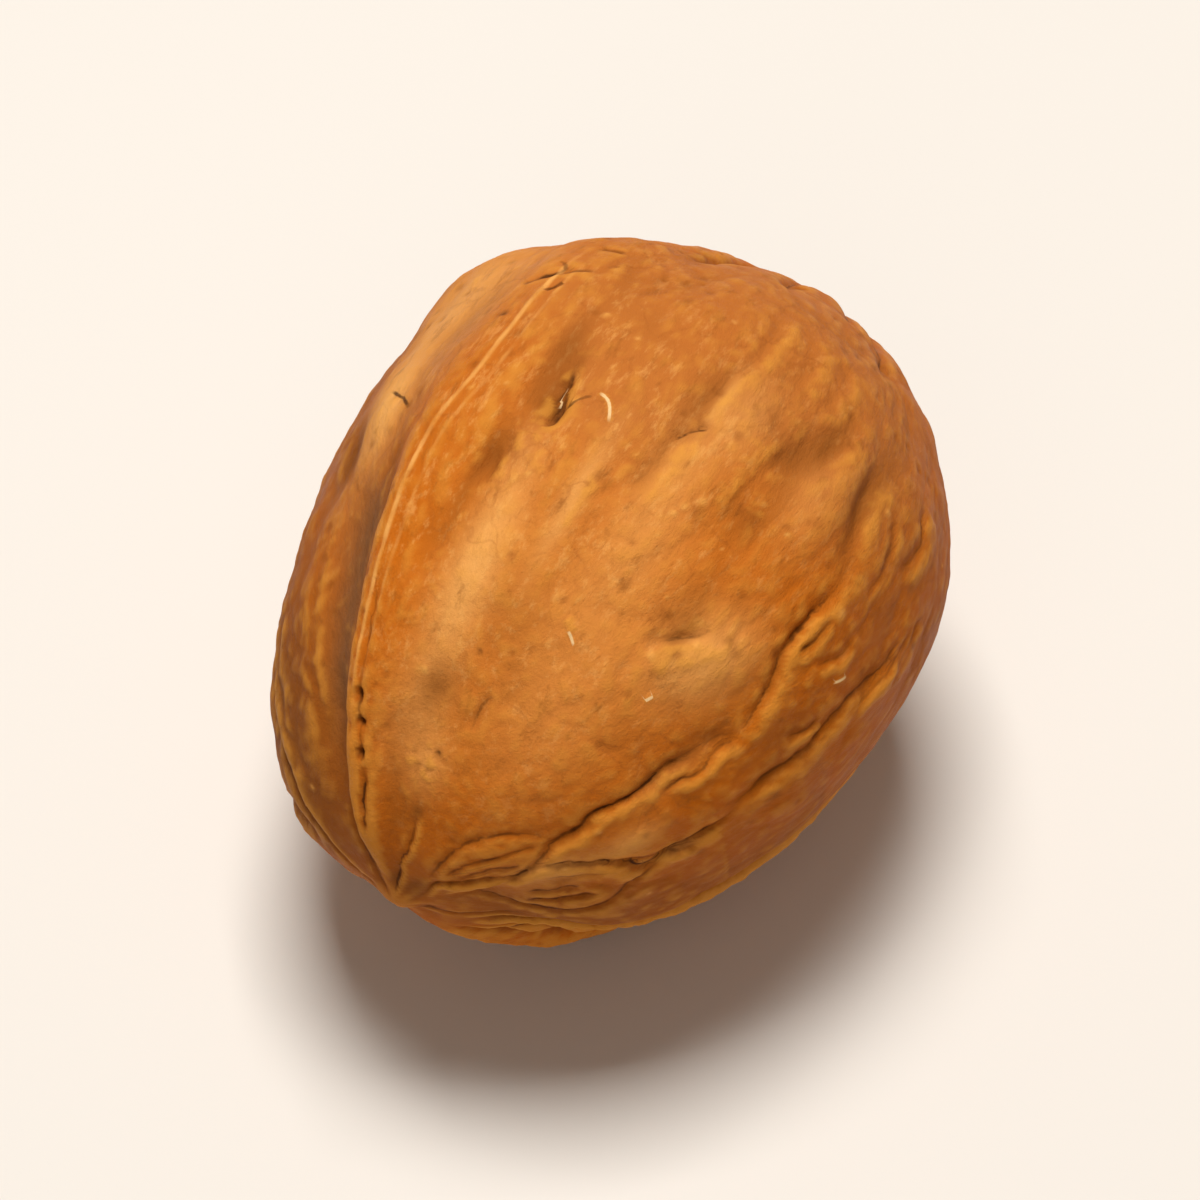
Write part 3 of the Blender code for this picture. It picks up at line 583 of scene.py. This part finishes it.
def nearest_on_line(points, line):
    """Distance to a line, the signed distance across it, and how strong it is toward its ends."""
    starts = line[:-1]
    spans = line[1:] - starts
    lengths = np.linalg.norm(spans, axis=1)
    best = np.full(len(points), np.inf)
    side, walk = np.zeros((2, len(points)))
    normal = outward(points)
    walked = np.concatenate([[0.0], np.cumsum(lengths)])
    for k, (start, span, length) in enumerate(zip(starts, spans, lengths)):
        offset = points - start
        t = np.clip(offset @ span / length ** 2, 0.0, 1.0)
        gap = offset - t[:, None] * span
        distance = np.linalg.norm(gap, axis=1)
        closer = distance < best
        across = np.einsum("ij,ij->i", gap, np.cross(span / length, normal))
        best = np.where(closer, distance, best)
        side = np.where(closer, np.sign(across) * distance, side)
        walk = np.where(closer, walked[k] + t * length, walk)
    fade = min(END_FADE, SHORTEST_END_FADE * walked[-1])
    ends = smooth_step(walk, 0.0, fade) * smooth_step(walked[-1] - walk, 0.0, fade)
    return best, side, ends


def near_line(points, path, reach):
    """The points near a smooth path: their numbers, distance, signed distance and fading ends."""
    line = smooth_path(path)
    inside = (points > line.min(axis=0) - reach) & (points < line.max(axis=0) + reach)
    near = np.flatnonzero(np.all(inside, axis=1))
    return near, *nearest_on_line(points[near], line)


def tip_thinning(points):
    """How much of their width and depth the grooves keep, less where they crowd at the tip."""
    latitude = np.degrees(np.arccos(-outward(points)[:, 1]))
    return TIP_THINNING + (1.0 - TIP_THINNING) * smooth_step(latitude, *TIP_THINNING_SPAN)


def jagged(points):
    """Points pushed a little to the side, so that what is drawn round them comes out jagged."""
    pushed = points.copy()
    for size, push in JAGS:
        pushed += push * MM * noise_push(points, size * MM)
    return pushed


def groove_relief(points, grooves):
    """Height that the grooves and their ribs give, and masks of their dark lines and of the painted
    highlight on their ribs.
    """
    height, line_mask, rib_highlight_mask = np.zeros((3, len(points)))
    thinned = tip_thinning(points)
    for path, full_width, full_depth, rib, crease in grooves:
        near, distance, side, ends = near_line(points, path, GROOVE_REACH * full_width * MM)
        width = full_width * thinned[near]
        depth = full_depth * thinned[near]
        cut = depth * MM * bell(distance, width * MM)
        sharp = crease * MM * bell(distance, LINE_WIDTH)
        from_rib = side * math.copysign(1.0, rib) - RIB_OFFSET * width * MM
        raised = bell(from_rib, RIB_WIDTH * width * MM)
        height[near] += (abs(rib) * MM * raised - cut - sharp) * ends
        stain = bell(distance, STAIN_WIDTH + STAIN_SPREAD * width * MM) * ends
        drawn = min(1.0, STAIN_PER_DEPTH * crease) * stain
        line_mask[near] = np.maximum(line_mask[near], drawn)
        pale = min(1.0, RIB_PER_HEIGHT * abs(rib)) * raised * ends
        rib_highlight_mask[near] = np.maximum(rib_highlight_mask[near], pale)
    return height, line_mask, rib_highlight_mask


def long_groove(rng, longitude):
    """One wandering groove from near the tip to near the stem end."""
    path = []
    latitude = LONG_START + rng.uniform(0.0, 6.0)
    end = LONG_END - rng.uniform(0.0, 16.0)
    drift = 0.0
    while latitude < end:
        drift = 0.7 * drift + rng.uniform(-LONG_WANDER, LONG_WANDER)
        path.append((latitude, longitude + drift))
        latitude += LONG_STEP * rng.uniform(0.8, 1.2)
    return path


def link_groove(rng, left, right):
    """One short slanting groove from a long groove to its neighbour."""
    latitude = rng.uniform(*LINK_LATITUDES)
    rise = rng.choice((-1, 1)) * rng.uniform(*LINK_RISES)
    start = np.interp(latitude, *zip(*left))
    end = np.interp(latitude + rise, *zip(*right))
    bend = rng.uniform(-2.0, 2.0)
    middle = (latitude + rise * 0.5 + bend, (start + end) / 2)
    return ((latitude, start), middle, (latitude + rise, end))


def with_random_size(rng, path):
    """A short groove along a path, with a random width and depth."""
    width = rng.uniform(*LINK_WIDTHS)
    depth = rng.uniform(*LINK_DEPTHS)
    return path, width, depth, 0.0, LINE_SHARE * depth


def stem_grooves(rng):
    """Short grooves that run down to the stem scar."""
    grooves = []
    first, last = STEM_SPAN
    count = round((last - first) / STEM_SPACING)
    for k in range(count + 1):
        longitude = first + (last - first) * k / count + rng.uniform(-4.0, 4.0)
        start = rng.uniform(*STEM_START)
        end = rng.uniform(*STEM_END)
        bend = rng.uniform(-STEM_BEND, STEM_BEND)
        path = ((start, longitude), ((start + end) / 2, longitude + bend), (end, longitude))
        grooves.append(with_random_size(rng, path))
    return grooves


def hidden_grooves():
    """The net of grooves on the sides that the photograph hides."""
    rng = random.Random(SEED)
    grooves = stem_grooves(rng)
    for first, last in HIDDEN_SPANS:
        gaps = round((last - first) / LONG_SPACING)
        longitudes = [first + (last - first) * k / gaps for k in range(gaps + 1)]
        lines = [long_groove(rng, longitude) for longitude in longitudes]
        for line in lines:
            rib = rng.choice((-1, 1)) * rng.uniform(*LONG_RIBS)
            width = rng.uniform(*LONG_WIDTHS)
            depth = rng.uniform(*LONG_DEPTHS)
            grooves.append((line, width, depth, rib, LINE_SHARE * depth))
        for left, right in zip(lines, lines[1:]):
            for _ in range(LINKS_PER_GAP):
                grooves.append(with_random_size(rng, link_groove(rng, left, right)))
    return grooves


def random_place(rng):
    """A place anywhere on the shell, evenly spread."""
    latitude = math.degrees(math.acos(rng.uniform(-0.93, 0.93)))
    return latitude, rng.uniform(-180.0, 180.0)


def short_creases():
    """Short faint creases all over, mostly along the nut."""
    rng = random.Random(SEED + 1)
    creases = []
    for _ in range(SHORT_CREASES):
        latitude, longitude = random_place(rng)
        half = 0.5 * rng.uniform(*CREASE_LENGTHS) * MM / CHEEK_HALF_WIDTH
        lean = rng.gauss(0.0, 0.5)
        rise = math.degrees(half * math.cos(lean))
        run = math.degrees(half * math.sin(lean)) / math.sin(math.radians(latitude))
        bend = rng.uniform(-0.4, 0.4) * rise
        path = ((latitude - rise, longitude - run), (latitude, longitude + bend),
                (latitude + rise, longitude + run))
        width = rng.uniform(*CREASE_WIDTHS)
        depth = rng.uniform(*CREASE_DEPTHS)
        creases.append((path, width, depth, 0.0, 0.5 * depth))
    return creases


def dot_relief(points, seed, count, radii, heights):
    """Height and mask of small round pits or specks at random places."""
    rng = random.Random(seed)
    height, mask = np.zeros((2, len(points)))
    for _ in range(count):
        centre = shell_points(*random_place(rng))
        radius = rng.uniform(*radii) * MM
        rise = rng.uniform(*heights) * MM
        distance = np.linalg.norm(points - centre, axis=1)
        dot = bell(distance, radius)
        height += rise * dot
        mask = np.maximum(mask, dot)
    return height, mask


def thin_relief(points, marks):
    """Height of thin cracks or slivers."""
    height = np.zeros(len(points))
    for path, width, rise in marks:
        near, distance, _, ends = near_line(points, path, MM)
        height[near] += rise * MM * bell(distance, width * MM) * np.sqrt(ends)
    return height


def thin_field(points, marks):
    """Signed distance in mm to the nearest thin line, and how strong that line is."""
    side_mm = np.full(len(points), THIN_REACH)
    strength = np.zeros(len(points))
    for path, share, thickness in marks:
        near, distance, side, ends = near_line(points, path, THIN_REACH * MM)
        closer = (distance / MM / thickness < np.abs(side_mm[near])) & (ends > 0.0)
        side_mm[near[closer]] = side[closer] / MM / thickness
        strong = share * ends * bell(distance / MM, THIN_SPREAD)
        strength[near[closer]] = strong[closer]
    return side_mm, strength


def crease_marks():
    """The creases and cracks that the material draws as thin dark lines, with their strengths."""
    creases = [(path, min(1.0, THIN_PER_DEPTH * crease), 1.0)
               for path, _, _, _, crease in READ_GROOVES + FINE_CREASES if crease > 0.0]
    hidden = [(groove[0], HIDDEN_LINE_SHARE, 1.0) for groove in hidden_grooves()]
    return creases + hidden + [(path, 1.0, CRACK_THICKNESS * width) for path, width, _ in CRACKS]


def crumb_mask(points):
    """Where the pale crumbs are."""
    mask = np.zeros(len(points))
    for latitude, longitude, radius in CRUMBS:
        distance = np.linalg.norm(points - shell_points(latitude, longitude), axis=1)
        mask = np.maximum(mask, bell(distance, radius * MM))
    return mask


def dark_pit_relief(points):
    """Height and mask of the dark pits that the photograph shows."""
    height, mask = np.zeros((2, len(points)))
    for latitude, longitude, length, width, depth in DARK_PITS:
        shape = patch_sum(points, ((latitude, longitude, length, width, 1.0),))
        height -= depth * MM * shape
        mask = np.maximum(mask, shape)
    return height, mask


def cube_sphere():
    """A sphere of squares, blown up from a cube and a little finer toward the camera's side."""
    shape = bmesh.new()
    bmesh.ops.create_cube(shape, size=2.0)
    cuts = CUBE_SQUARES - 1
    bmesh.ops.subdivide_edges(shape, edges=shape.edges[:], cuts=cuts, use_grid_fill=True)
    flat = np.array([v.co[:] for v in shape.verts])
    even = outward(np.tan(flat * math.pi / 4))
    return shape, outward(even + FINE_SIDE_PULL * np.array(FINE_SIDE))


def spread(values, edges, times):
    """Values averaged with their neighbours along the mesh's edges, again and again."""
    first, second = edges.T
    count = np.bincount(first, minlength=len(values)) + np.bincount(second, minlength=len(values))
    for _ in range(times):
        total = np.bincount(first, values[second], len(values))
        total += np.bincount(second, values[first], len(values))
        values = 0.5 * values + 0.5 * total / count
    return values


def store(mesh, name, values):
    """Keep one number per point on the mesh, for its material."""
    attribute = mesh.attributes.new(name, "FLOAT", "POINT")
    attribute.data.foreach_set("value", np.asarray(values, dtype=np.float32))


def seam_valley_stain_and_shade(latitude, across):
    """Where the valley beside the upper seam is greyish brown: a stain with painted shade under the
    seam's steep side.
    """
    stain = bell(across - UPPER_STAIN_AND_SHADE_MIDDLE, UPPER_STAIN_AND_SHADE_WIDTH)
    return stain * plateau(latitude, UPPER_STAIN_AND_SHADE_SPAN)


def seam_crest_mask(points, latitude, across):
    """Where the seams have a thin pale line."""
    broken = 0.6 + 0.8 * noise_at(points, UPPER_LINE_GRAIN)
    upper = broken * bell(across, UPPER_LINE_WIDTH)
    lower = 0.8 * bell(across_lower_seam(points, latitude), LOWER_LINE_WIDTH)
    lower *= bell(latitude - LOWER_LINE_MIDDLE, LOWER_LINE_SPREAD)
    return np.where(points[:, 2] > 0.0, upper * plateau(latitude, UPPER_LINE_SPAN), lower)


def painted_light_mask(directions):
    """Where the shell is painted paler as light, round the middle of the side toward the camera."""
    middle = np.array(PAINTED_LIGHT_MIDDLE)
    angle = np.degrees(np.arccos(np.clip(directions @ (middle / np.linalg.norm(middle)), -1.0, 1.0)))
    return bell(angle, PAINTED_LIGHT_SPREAD)


def groove_height(points, bent, latitude):
    """Height of all grooves and creases with the wrinkles beside them, and their masks."""
    main, main_line, main_rib_highlight = groove_relief(bent, (*READ_GROOVES, *hidden_grooves()))
    fine, fine_line, fine_rib_highlight = groove_relief(bent, FINE_CREASES)
    short, short_line, _ = groove_relief(points, short_creases())
    height = (main + fine + short) * smooth_step(latitude, *TIP_FADE)
    beside = np.clip(main_line + main_rib_highlight, 0.0, 1.0)
    height += beside * wrinkle_relief(points, (GROOVE_WRINKLES,))
    line = np.maximum(main_line, np.maximum(0.9 * fine_line, 0.7 * short_line))
    return height, {"line": line, "rib": np.maximum(main_rib_highlight, fine_rib_highlight)}


def mark_height(points, bent):
    """Height of the slivers, cracks, crumbs, pits and specks, and their masks."""
    crumbs = crumb_mask(bent)
    dark_pits, dark_mask = dark_pit_relief(points)
    pits, pit_mask = dot_relief(points, SEED + 2, *PITS)
    specks, speck_mask = dot_relief(points, SEED + 3, *SPECKS)
    height = thin_relief(points, SLIVERS) + thin_relief(points, CRACKS)
    height += dark_pits + pits + specks + CRUMB_HEIGHT * crumbs
    line_side, line_share = thin_field(bent, crease_marks())
    sliver_glint_side, sliver_glint_share = thin_field(points, [(path, 1.0, 1.0) for path, _, _ in SLIVERS])
    return height, {
        "dark": dark_mask,
        "pit": pit_mask,
        "speck": np.maximum(speck_mask, crumbs),
        "line_side": line_side,
        "line_share": line_share,
        "sliver_glint_side": sliver_glint_side,
        "sliver_glint_share": sliver_glint_share,
    }


def skin_height(points, latitude, longitude):
    """Height of the seams, swellings and ends, and of the uneven skin."""
    across = across_upper_seam(latitude, longitude)
    calm = CALM_TIP + (1.0 - CALM_TIP) * smooth_step(latitude, *CALM_TIP_SPAN)
    height = calm * wrinkle_relief(points, WRINKLES) + crinkle_relief(points)
    height += seam_relief(points, latitude, across) + bead_relief(latitude, across)
    height += uneven_relief(points, UNEVENNESS + FINE_UNEVENNESS)
    height += end_relief(points, latitude) + flute_relief(latitude, longitude)
    return height + MM * patch_sum(points, SWELLINGS)


def color_masks(points, latitude, longitude):
    """Where the shell's colours change apart from its grooves and marks."""
    polar = np.radians(latitude)
    across = across_upper_seam(latitude, longitude)
    return {
        "seam_side": np.clip(across, -6.0, 6.0),
        "pale": patch_sum(points, PALE_AND_PAINTED_LIGHT_PATCHES),
        # Brown stains, the scar ring, and painted shade in hollows and on the shaded sides
        "brown": patch_sum(points, STAIN_AND_SHADE_PATCHES) + scar_ring(latitude),
        "rosy": patch_sum(points, ROSY_PATCHES),
        "orange": patch_sum(points, ORANGE_AND_SHADE_PATCHES),
        "valley": seam_valley_stain_and_shade(latitude, across),
        "crest": seam_crest_mask(points, latitude, across),
        "ends": bell(polar, TIP_TINT_ANGLE) + bell(np.pi - polar, STEM_TINT_ANGLE),
    }


def shell_surface(directions):
    """Points of the finished shell, its relief, and the masks that its colours need."""
    latitude = np.degrees(np.arccos(np.clip(-directions[:, 1], -1.0, 1.0)))
    longitude = np.degrees(np.arctan2(directions[:, 0], directions[:, 2]))
    points = shell_points(latitude, longitude)
    bent = jagged(points)
    grooves, groove_masks = groove_height(points, bent, latitude)
    marks, mark_masks = mark_height(points, bent)
    height = grooves + marks + skin_height(points, latitude, longitude)
    masks = {**groove_masks, **mark_masks, **color_masks(points, latitude, longitude)}
    # Paler toward the middle of the side toward the camera: painted light
    masks["wear_and_painted_light"] = painted_light_mask(directions)
    return points + outward(points) * height[:, None], height, masks


def placed(points):
    """Points turned to how the nut lies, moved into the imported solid's box and cut flat below."""
    turn = np.array(Euler((TIP_DOWN, -ROLL, 0.0), "YXZ").to_matrix())
    turned = points @ turn.T
    low, high = (np.array(corner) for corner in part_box("walnut"))
    size = (high - low)[:2] / (turned.max(axis=0) - turned.min(axis=0))[:2]
    turned *= min(1.0, size.min())
    middle = (turned.max(axis=0) + turned.min(axis=0)) / 2
    shift = (low + high) / 2 - middle
    shift[2] = high[2] - turned[:, 2].max()
    turned += shift
    turned[:, 2] = np.maximum(turned[:, 2], low[2])
    return turned


class Nodes:
    """Short calls for building a material's node tree."""

    def __init__(self, name):
        self.material = bpy.data.materials.new(name)
        self.material.use_nodes = True
        self.tree = self.material.node_tree
        self.shader = self.tree.nodes["Principled BSDF"]

    def set_input(self, socket, value):
        """Link a socket or set its value."""
        if isinstance(value, bpy.types.NodeSocket):
            self.tree.links.new(value, socket)
        else:
            socket.default_value = value

    def add(self, kind, inputs, **settings):
        """The outputs of a new node with these settings and inputs."""
        node = self.tree.nodes.new("ShaderNode" + kind)
        for name, value in settings.items():
            setattr(node, name, value)
        for socket, value in inputs.items():
            self.set_input(node.inputs[socket], value)
        return node.outputs

    def attribute(self, name):
        """A number kept on the mesh."""
        return self.add("Attribute", {}, attribute_name=name)["Fac"]

    def noise(self, vector, scale, detail=4.0, roughness=0.55):
        """Soft noise from about 0.3 to 0.7."""
        inputs = {"Vector": vector, "Scale": scale, "Detail": detail, "Roughness": roughness}
        return self.add("TexNoise", inputs)["Fac"]

    def ramp(self, value, low, high, to_low=0.0, to_high=1.0):
        """Value moved from one range to another and kept inside it."""
        inputs = {"Value": value, "From Min": low, "From Max": high, "To Min": to_low, "To Max": to_high}
        return self.add("MapRange", inputs, interpolation_type="SMOOTHSTEP")["Result"]

    def math(self, operation, first, second=0.0):
        """One arithmetic step."""
        return self.add("Math", {0: first, 1: second}, operation=operation)["Value"]

    def mix(self, factor, first, second):
        """One colour laid over another."""
        return self.add("Mix", {"Factor": factor, "A": first, "B": second}, data_type="RGBA")["Result"]

    def laid(self, color, mask, share, top):
        """A colour laid over another by a share of a mask on the mesh."""
        return self.mix(self.math("MULTIPLY", self.attribute(mask), share), color, top)

    def veins(self, vector, scale, width):
        """A broken net of thin crooked lines."""
        bend = self.add("TexNoise", {"Vector": vector, "Scale": 1.6 * scale, "Detail": 4.0})["Color"]
        pushed = {0: bend, 1: (VEIN_PUSH, VEIN_PUSH, VEIN_PUSH), 2: vector}
        bent = self.add("VectorMath", pushed, operation="MULTIPLY_ADD")["Vector"]
        cells = self.add("TexVoronoi", {"Vector": bent, "Scale": scale}, feature="DISTANCE_TO_EDGE")
        line = self.ramp(cells["Distance"], 0.0, width, 1.0, 0.0)
        return self.math("MULTIPLY", line, self.ramp(self.noise(vector, 0.6 * scale), 0.45, 0.62))

    def thin_line(self, name, core, edge):
        """A thin line from its signed distance on the mesh: solid within core, gone past edge."""
        distance = self.math("ABSOLUTE", self.attribute(name + "_side"))
        line = self.ramp(distance, core, edge, 1.0, 0.0)
        return self.math("MULTIPLY", line, self.attribute(name + "_share"))

    def seam_lines(self):
        """The two thin pale lines along the upper seam, from the degrees across it."""
        across = self.attribute("seam_side")
        lines = []
        for place, core, edge, share in SEAM_LINES:
            distance = self.math("ABSOLUTE", self.math("SUBTRACT", across, place))
            lines.append(self.ramp(distance, core, edge, share, 0.0))
        return self.math("MULTIPLY", self.math("MAXIMUM", *lines), self.attribute("crest"))


# Shell colours, as linear values
TAN = (0.74, 0.3, 0.064, 1)
ORANGE = (0.52, 0.118, 0.002, 1)
YELLOW = (0.74, 0.32, 0.046, 1)
RED = (0.59, 0.16, 0.018, 1)
PALE = (0.87, 0.43, 0.12, 1)
BROWN = (0.235, 0.068, 0.009, 1)
ROSY = (0.47, 0.15, 0.03, 1)
GREY_BROWN = (0.19, 0.082, 0.03, 1)
DARK_LINE = (0.055, 0.016, 0.004, 1)
BONE = (0.9, 0.64, 0.33, 1)
VEIN = (0.3, 0.075, 0.012, 1)


# Mottling: (scale per metre, detail, roughness, noise where it starts and where it is full, share,
# colour), first on even coordinates and then on ones drawn out along the nut
EVEN_MOTTLES = (
    (420, 4, 0.6, 0.52, 0.62, 0.45, YELLOW),
    (420, 4, 0.6, 0.47, 0.38, 0.45, RED),
)
DRAWN_OUT_MOTTLES = ((950, 5, 0.65, 0.48, 0.36, 0.28, RED),)
STAINS = ((1100, 6, 0.7, 0.52, 0.74, 0.5, BROWN),)

# Colours that masks on the mesh lay over the shell, in order: (mask, share, colour)
LAYERS_UNDER_SEAM = (
    # Painted shade in the hollows
    ("hollow_shade", 0.44, BROWN),
    # Brown stains and painted shade in hollows and on the shaded sides
    ("brown", 0.55, BROWN),
    # Greyish brown stain with painted shade in the valley beside the upper seam
    ("valley", 0.8, GREY_BROWN),
    # Paleness on raised bits: partly wear, partly painted highlight
    ("raised", 0.45, YELLOW),
    # Painted highlight on the ribs
    ("rib", 0.35, YELLOW),
)
LAYERS_OVER_SEAM = (
    ("ends", 0.35, ROSY),
    ("pit", 0.45, BROWN),
    # Pale specks and crumbs, some crumbs painted glints
    ("speck", 0.4, PALE),
)

# The pale lines along the upper seam: (degrees across it, core, edge, share)
SEAM_LINES = ((0, 0.15, 0.75, 1), (2.9, 0.1, 0.6, 0.45))

# Core and edge of the thin lines, in mm, and how far veins wander, in metres
DARK_LINE_EDGES = (0.04, 0.12)
SLIVER_GLINT_EDGES = (0.05, 0.11)
VEIN_PUSH = 0.0022

# How much lengthwise patterns are squeezed, and the fine grain of the skin
DRAWN_OUT = (1, 0.38, 1)
GRAIN_SCALE = 2200
GRAIN_STRENGTH = 0.8
GRAIN_HEIGHT = 0.18 * MM


def mottled(n, color, vector, mottles):
    """A colour with mottles laid over it."""
    for scale, detail, roughness, low, high, share, top in mottles:
        pattern = n.noise(vector, scale, detail, roughness)
        color = n.mix(n.ramp(pattern, low, high, 0.0, share), color, top)
    return color


def shell_color(n, place, along):
    """Mottled orange and tan, tan where the middle is painted as lit and orange as painted shade toward
    the sides, with the patches that the mesh carries laid over them.
    """
    broad = n.ramp(n.noise(place, 170.0, detail=3.0), 0.36, 0.66, -0.35, 0.35)
    # Tan where the middle is painted as lit, deeper orange toward the sides as painted shade
    color = n.mix(n.math("ADD", n.attribute("wear_and_painted_light"), broad), ORANGE, TAN)
    color = mottled(n, color, place, EVEN_MOTTLES)
    color = mottled(n, color, along, DRAWN_OUT_MOTTLES)
    # Deeper orange patches, partly painted shade
    color = n.mix(n.math("MINIMUM", n.attribute("orange"), 0.85), color, ORANGE)
    color = n.mix(n.math("MINIMUM", n.attribute("rosy"), 0.80), color, ROSY)
    # Pale patches, partly painted light
    color = n.laid(color, "pale", 0.55, PALE)
    flecks = n.ramp(n.noise(along, 1500.0, detail=6.0, roughness=0.72), 0.50, 0.70)
    # More pale flecks where the middle is painted as lit
    fleck_share = n.ramp(n.attribute("wear_and_painted_light"), 0.0, 0.9, 0.16, 0.44)
    color = n.mix(n.math("MULTIPLY", flecks, fleck_share), color, PALE)
    color = mottled(n, color, along, STAINS)
    return n.mix(n.math("MULTIPLY", n.veins(place, 330.0, 0.05), 0.26), color, VEIN)


def shell_details(n, color, place):
    """Painted shade in hollows, seams, creases, pits, specks, and painted highlights and glints laid
    over the mottled shell.
    """
    for layer in LAYERS_UNDER_SEAM:
        color = n.laid(color, *layer)
    color = n.mix(n.math("MULTIPLY", n.seam_lines(), 0.80), color, PALE)
    for layer in LAYERS_OVER_SEAM:
        color = n.laid(color, *layer)
    broken = n.ramp(n.noise(place, 700.0, detail=2.0), 0.38, 0.60, 0.45, 1.0)
    soft = n.math("MULTIPLY", n.attribute("line"), n.math("MULTIPLY", broken, 0.55))
    color = n.mix(soft, color, DARK_LINE)
    thin = n.math("MULTIPLY", n.thin_line("line", *DARK_LINE_EDGES), broken)
    color = n.mix(thin, color, DARK_LINE)
    color = n.laid(color, "dark", 0.95, DARK_LINE)
    # Pale slivers, their colour partly a painted glint
    return n.mix(n.math("MULTIPLY", n.thin_line("sliver_glint", *SLIVER_GLINT_EDGES), 0.90), color, BONE)


def shell_material():
    """Waxy orange-brown shell with dark creases, pale raised edges partly painted as highlights, and
    soft patches, some of them painted light and shade.
    """
    n = Nodes("shell_finish")
    place = n.add("TexCoord", {})["Object"]
    along = n.add("Mapping", {"Vector": place, "Scale": DRAWN_OUT})["Vector"]
    color = shell_details(n, shell_color(n, place, along), place)
    n.set_input(n.shader.inputs["Base Color"], color)
    # Roughness that varies with wear only
    wear_and_painted_light = n.noise(place, 500.0)
    n.set_input(n.shader.inputs["Roughness"], n.ramp(wear_and_painted_light, 0.3, 0.7, 0.46, 0.64))
    n.shader.inputs["Specular IOR Level"].default_value = 0.08
    n.shader.inputs["Specular Tint"].default_value = (1.0, 0.68, 0.36, 1.0)
    grain = n.noise(along, GRAIN_SCALE, detail=6.0, roughness=0.75)
    relief = {"Strength": GRAIN_STRENGTH, "Distance": GRAIN_HEIGHT, "Height": grain}
    n.set_input(n.shader.inputs["Normal"], n.add("Bump", relief)["Normal"])
    return n.material


def new_object(name, data):
    """A new object in the scene."""
    made = bpy.data.objects.new(name, data)
    bpy.context.scene.collection.objects.link(made)
    return made


def make_walnut():
    """The whole nut as one fine closed mesh."""
    shape, directions = cube_sphere()
    points, height, masks = shell_surface(directions)
    for vertex, point in zip(shape.verts, placed(points).tolist()):
        vertex.co = point
    mesh = bpy.data.meshes.new("walnut_shell")
    shape.to_mesh(mesh)
    shape.free()
    edges = np.empty(2 * len(mesh.edges), dtype=np.int64)
    mesh.edges.foreach_get("vertices", edges)
    edges = edges.reshape(-1, 2)
    near = spread(height, edges, NEAR_SPREAD)
    far = spread(near, edges, FAR_SPREAD)
    for name, values in masks.items():
        store(mesh, name, values)
    # Painted shade in hollows that lie below the broadly averaged relief, and paleness on raised bits,
    # partly wear and partly painted highlight
    store(mesh, "hollow_shade", np.clip((far - near) / FULL_HOLLOW_SHADE, 0.0, 1.0))
    store(mesh, "raised", np.clip((height - near) / FULL_RAISE, 0.0, 1.0))
    mesh.shade_smooth()
    mesh.materials.append(shell_material())
    nut = new_object("walnut_shell", mesh)
    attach(nut, "root")
    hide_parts("walnut")


# Where the camera looks from, and how much of the frame the nut fills
VIEW_AZIMUTH = math.radians(30.55)
VIEW_ELEVATION = math.radians(53.1)
VIEW_DISTANCE = 0.3
LENS = 165
FLOOR_SIZE = 3
FLOOR_COLOR = (0.76, 0.73, 0.69, 1)
WORLD_COLOR = (1, 0.86, 0.72, 1)
WORLD_STRENGTH = 0.18

# Lights: (name, direction from the nut, distance, size, watts, colour)
LIGHTS = (
    ("key", (-0.11, 0.12, 1), 0.6, 0.24, 4.2, (1, 0.97, 0.93)),
    ("front", (0.25, -0.8, 0.65), 0.7, 0.5, 0.5, (1, 0.96, 0.9)),
)


def back_direction():
    """From the nut toward the camera."""
    flat = math.cos(VIEW_ELEVATION)
    return Vector((math.sin(VIEW_AZIMUTH) * flat, -math.cos(VIEW_AZIMUTH) * flat,
                   math.sin(VIEW_ELEVATION)))


def make_camera(target):
    """The camera at the photograph's angle on the nut."""
    data = bpy.data.cameras.new("camera")
    data.lens = LENS
    data.clip_start = 0.01
    data.clip_end = 20.0
    camera = new_object("camera", data)
    camera.location = target + back_direction() * VIEW_DISTANCE
    camera.rotation_euler = (-back_direction()).to_track_quat("-Z", "Y").to_euler()
    bpy.context.scene.camera = camera


def make_light(target, name, direction, distance, size, power, color):
    """A soft square light that shines on the nut from a direction."""
    data = bpy.data.lights.new(name, "AREA")
    data.shape = "SQUARE"
    data.size = size
    data.energy = power
    data.color = color
    light = new_object(name, data)
    light.location = target + Vector(direction).normalized() * distance
    light.rotation_euler = (target - light.location).to_track_quat("-Z", "Y").to_euler()


def make_floor():
    """A plain pale floor."""
    shape = bmesh.new()
    bmesh.ops.create_grid(shape, x_segments=1, y_segments=1, size=FLOOR_SIZE / 2)
    mesh = bpy.data.meshes.new("floor")
    shape.to_mesh(mesh)
    shape.free()
    n = Nodes("floor_finish")
    n.shader.inputs["Base Color"].default_value = FLOOR_COLOR
    n.shader.inputs["Roughness"].default_value = 0.8
    mesh.materials.append(n.material)
    new_object("floor", mesh)


def make_surroundings(target):
    """Floor, soft studio light and a pale world."""
    make_floor()
    for light in LIGHTS:
        make_light(target, *light)
    world = bpy.data.worlds.new("world")
    world.use_nodes = True
    background = world.node_tree.nodes["Background"]
    background.inputs["Color"].default_value = WORLD_COLOR
    background.inputs["Strength"].default_value = WORLD_STRENGTH
    bpy.context.scene.world = world
    bpy.context.scene.view_settings.view_transform = "Standard"


make_walnut()
low, high = CAD_BOX
centre = (low + high) / 2
make_camera(centre)
make_surroundings(centre)
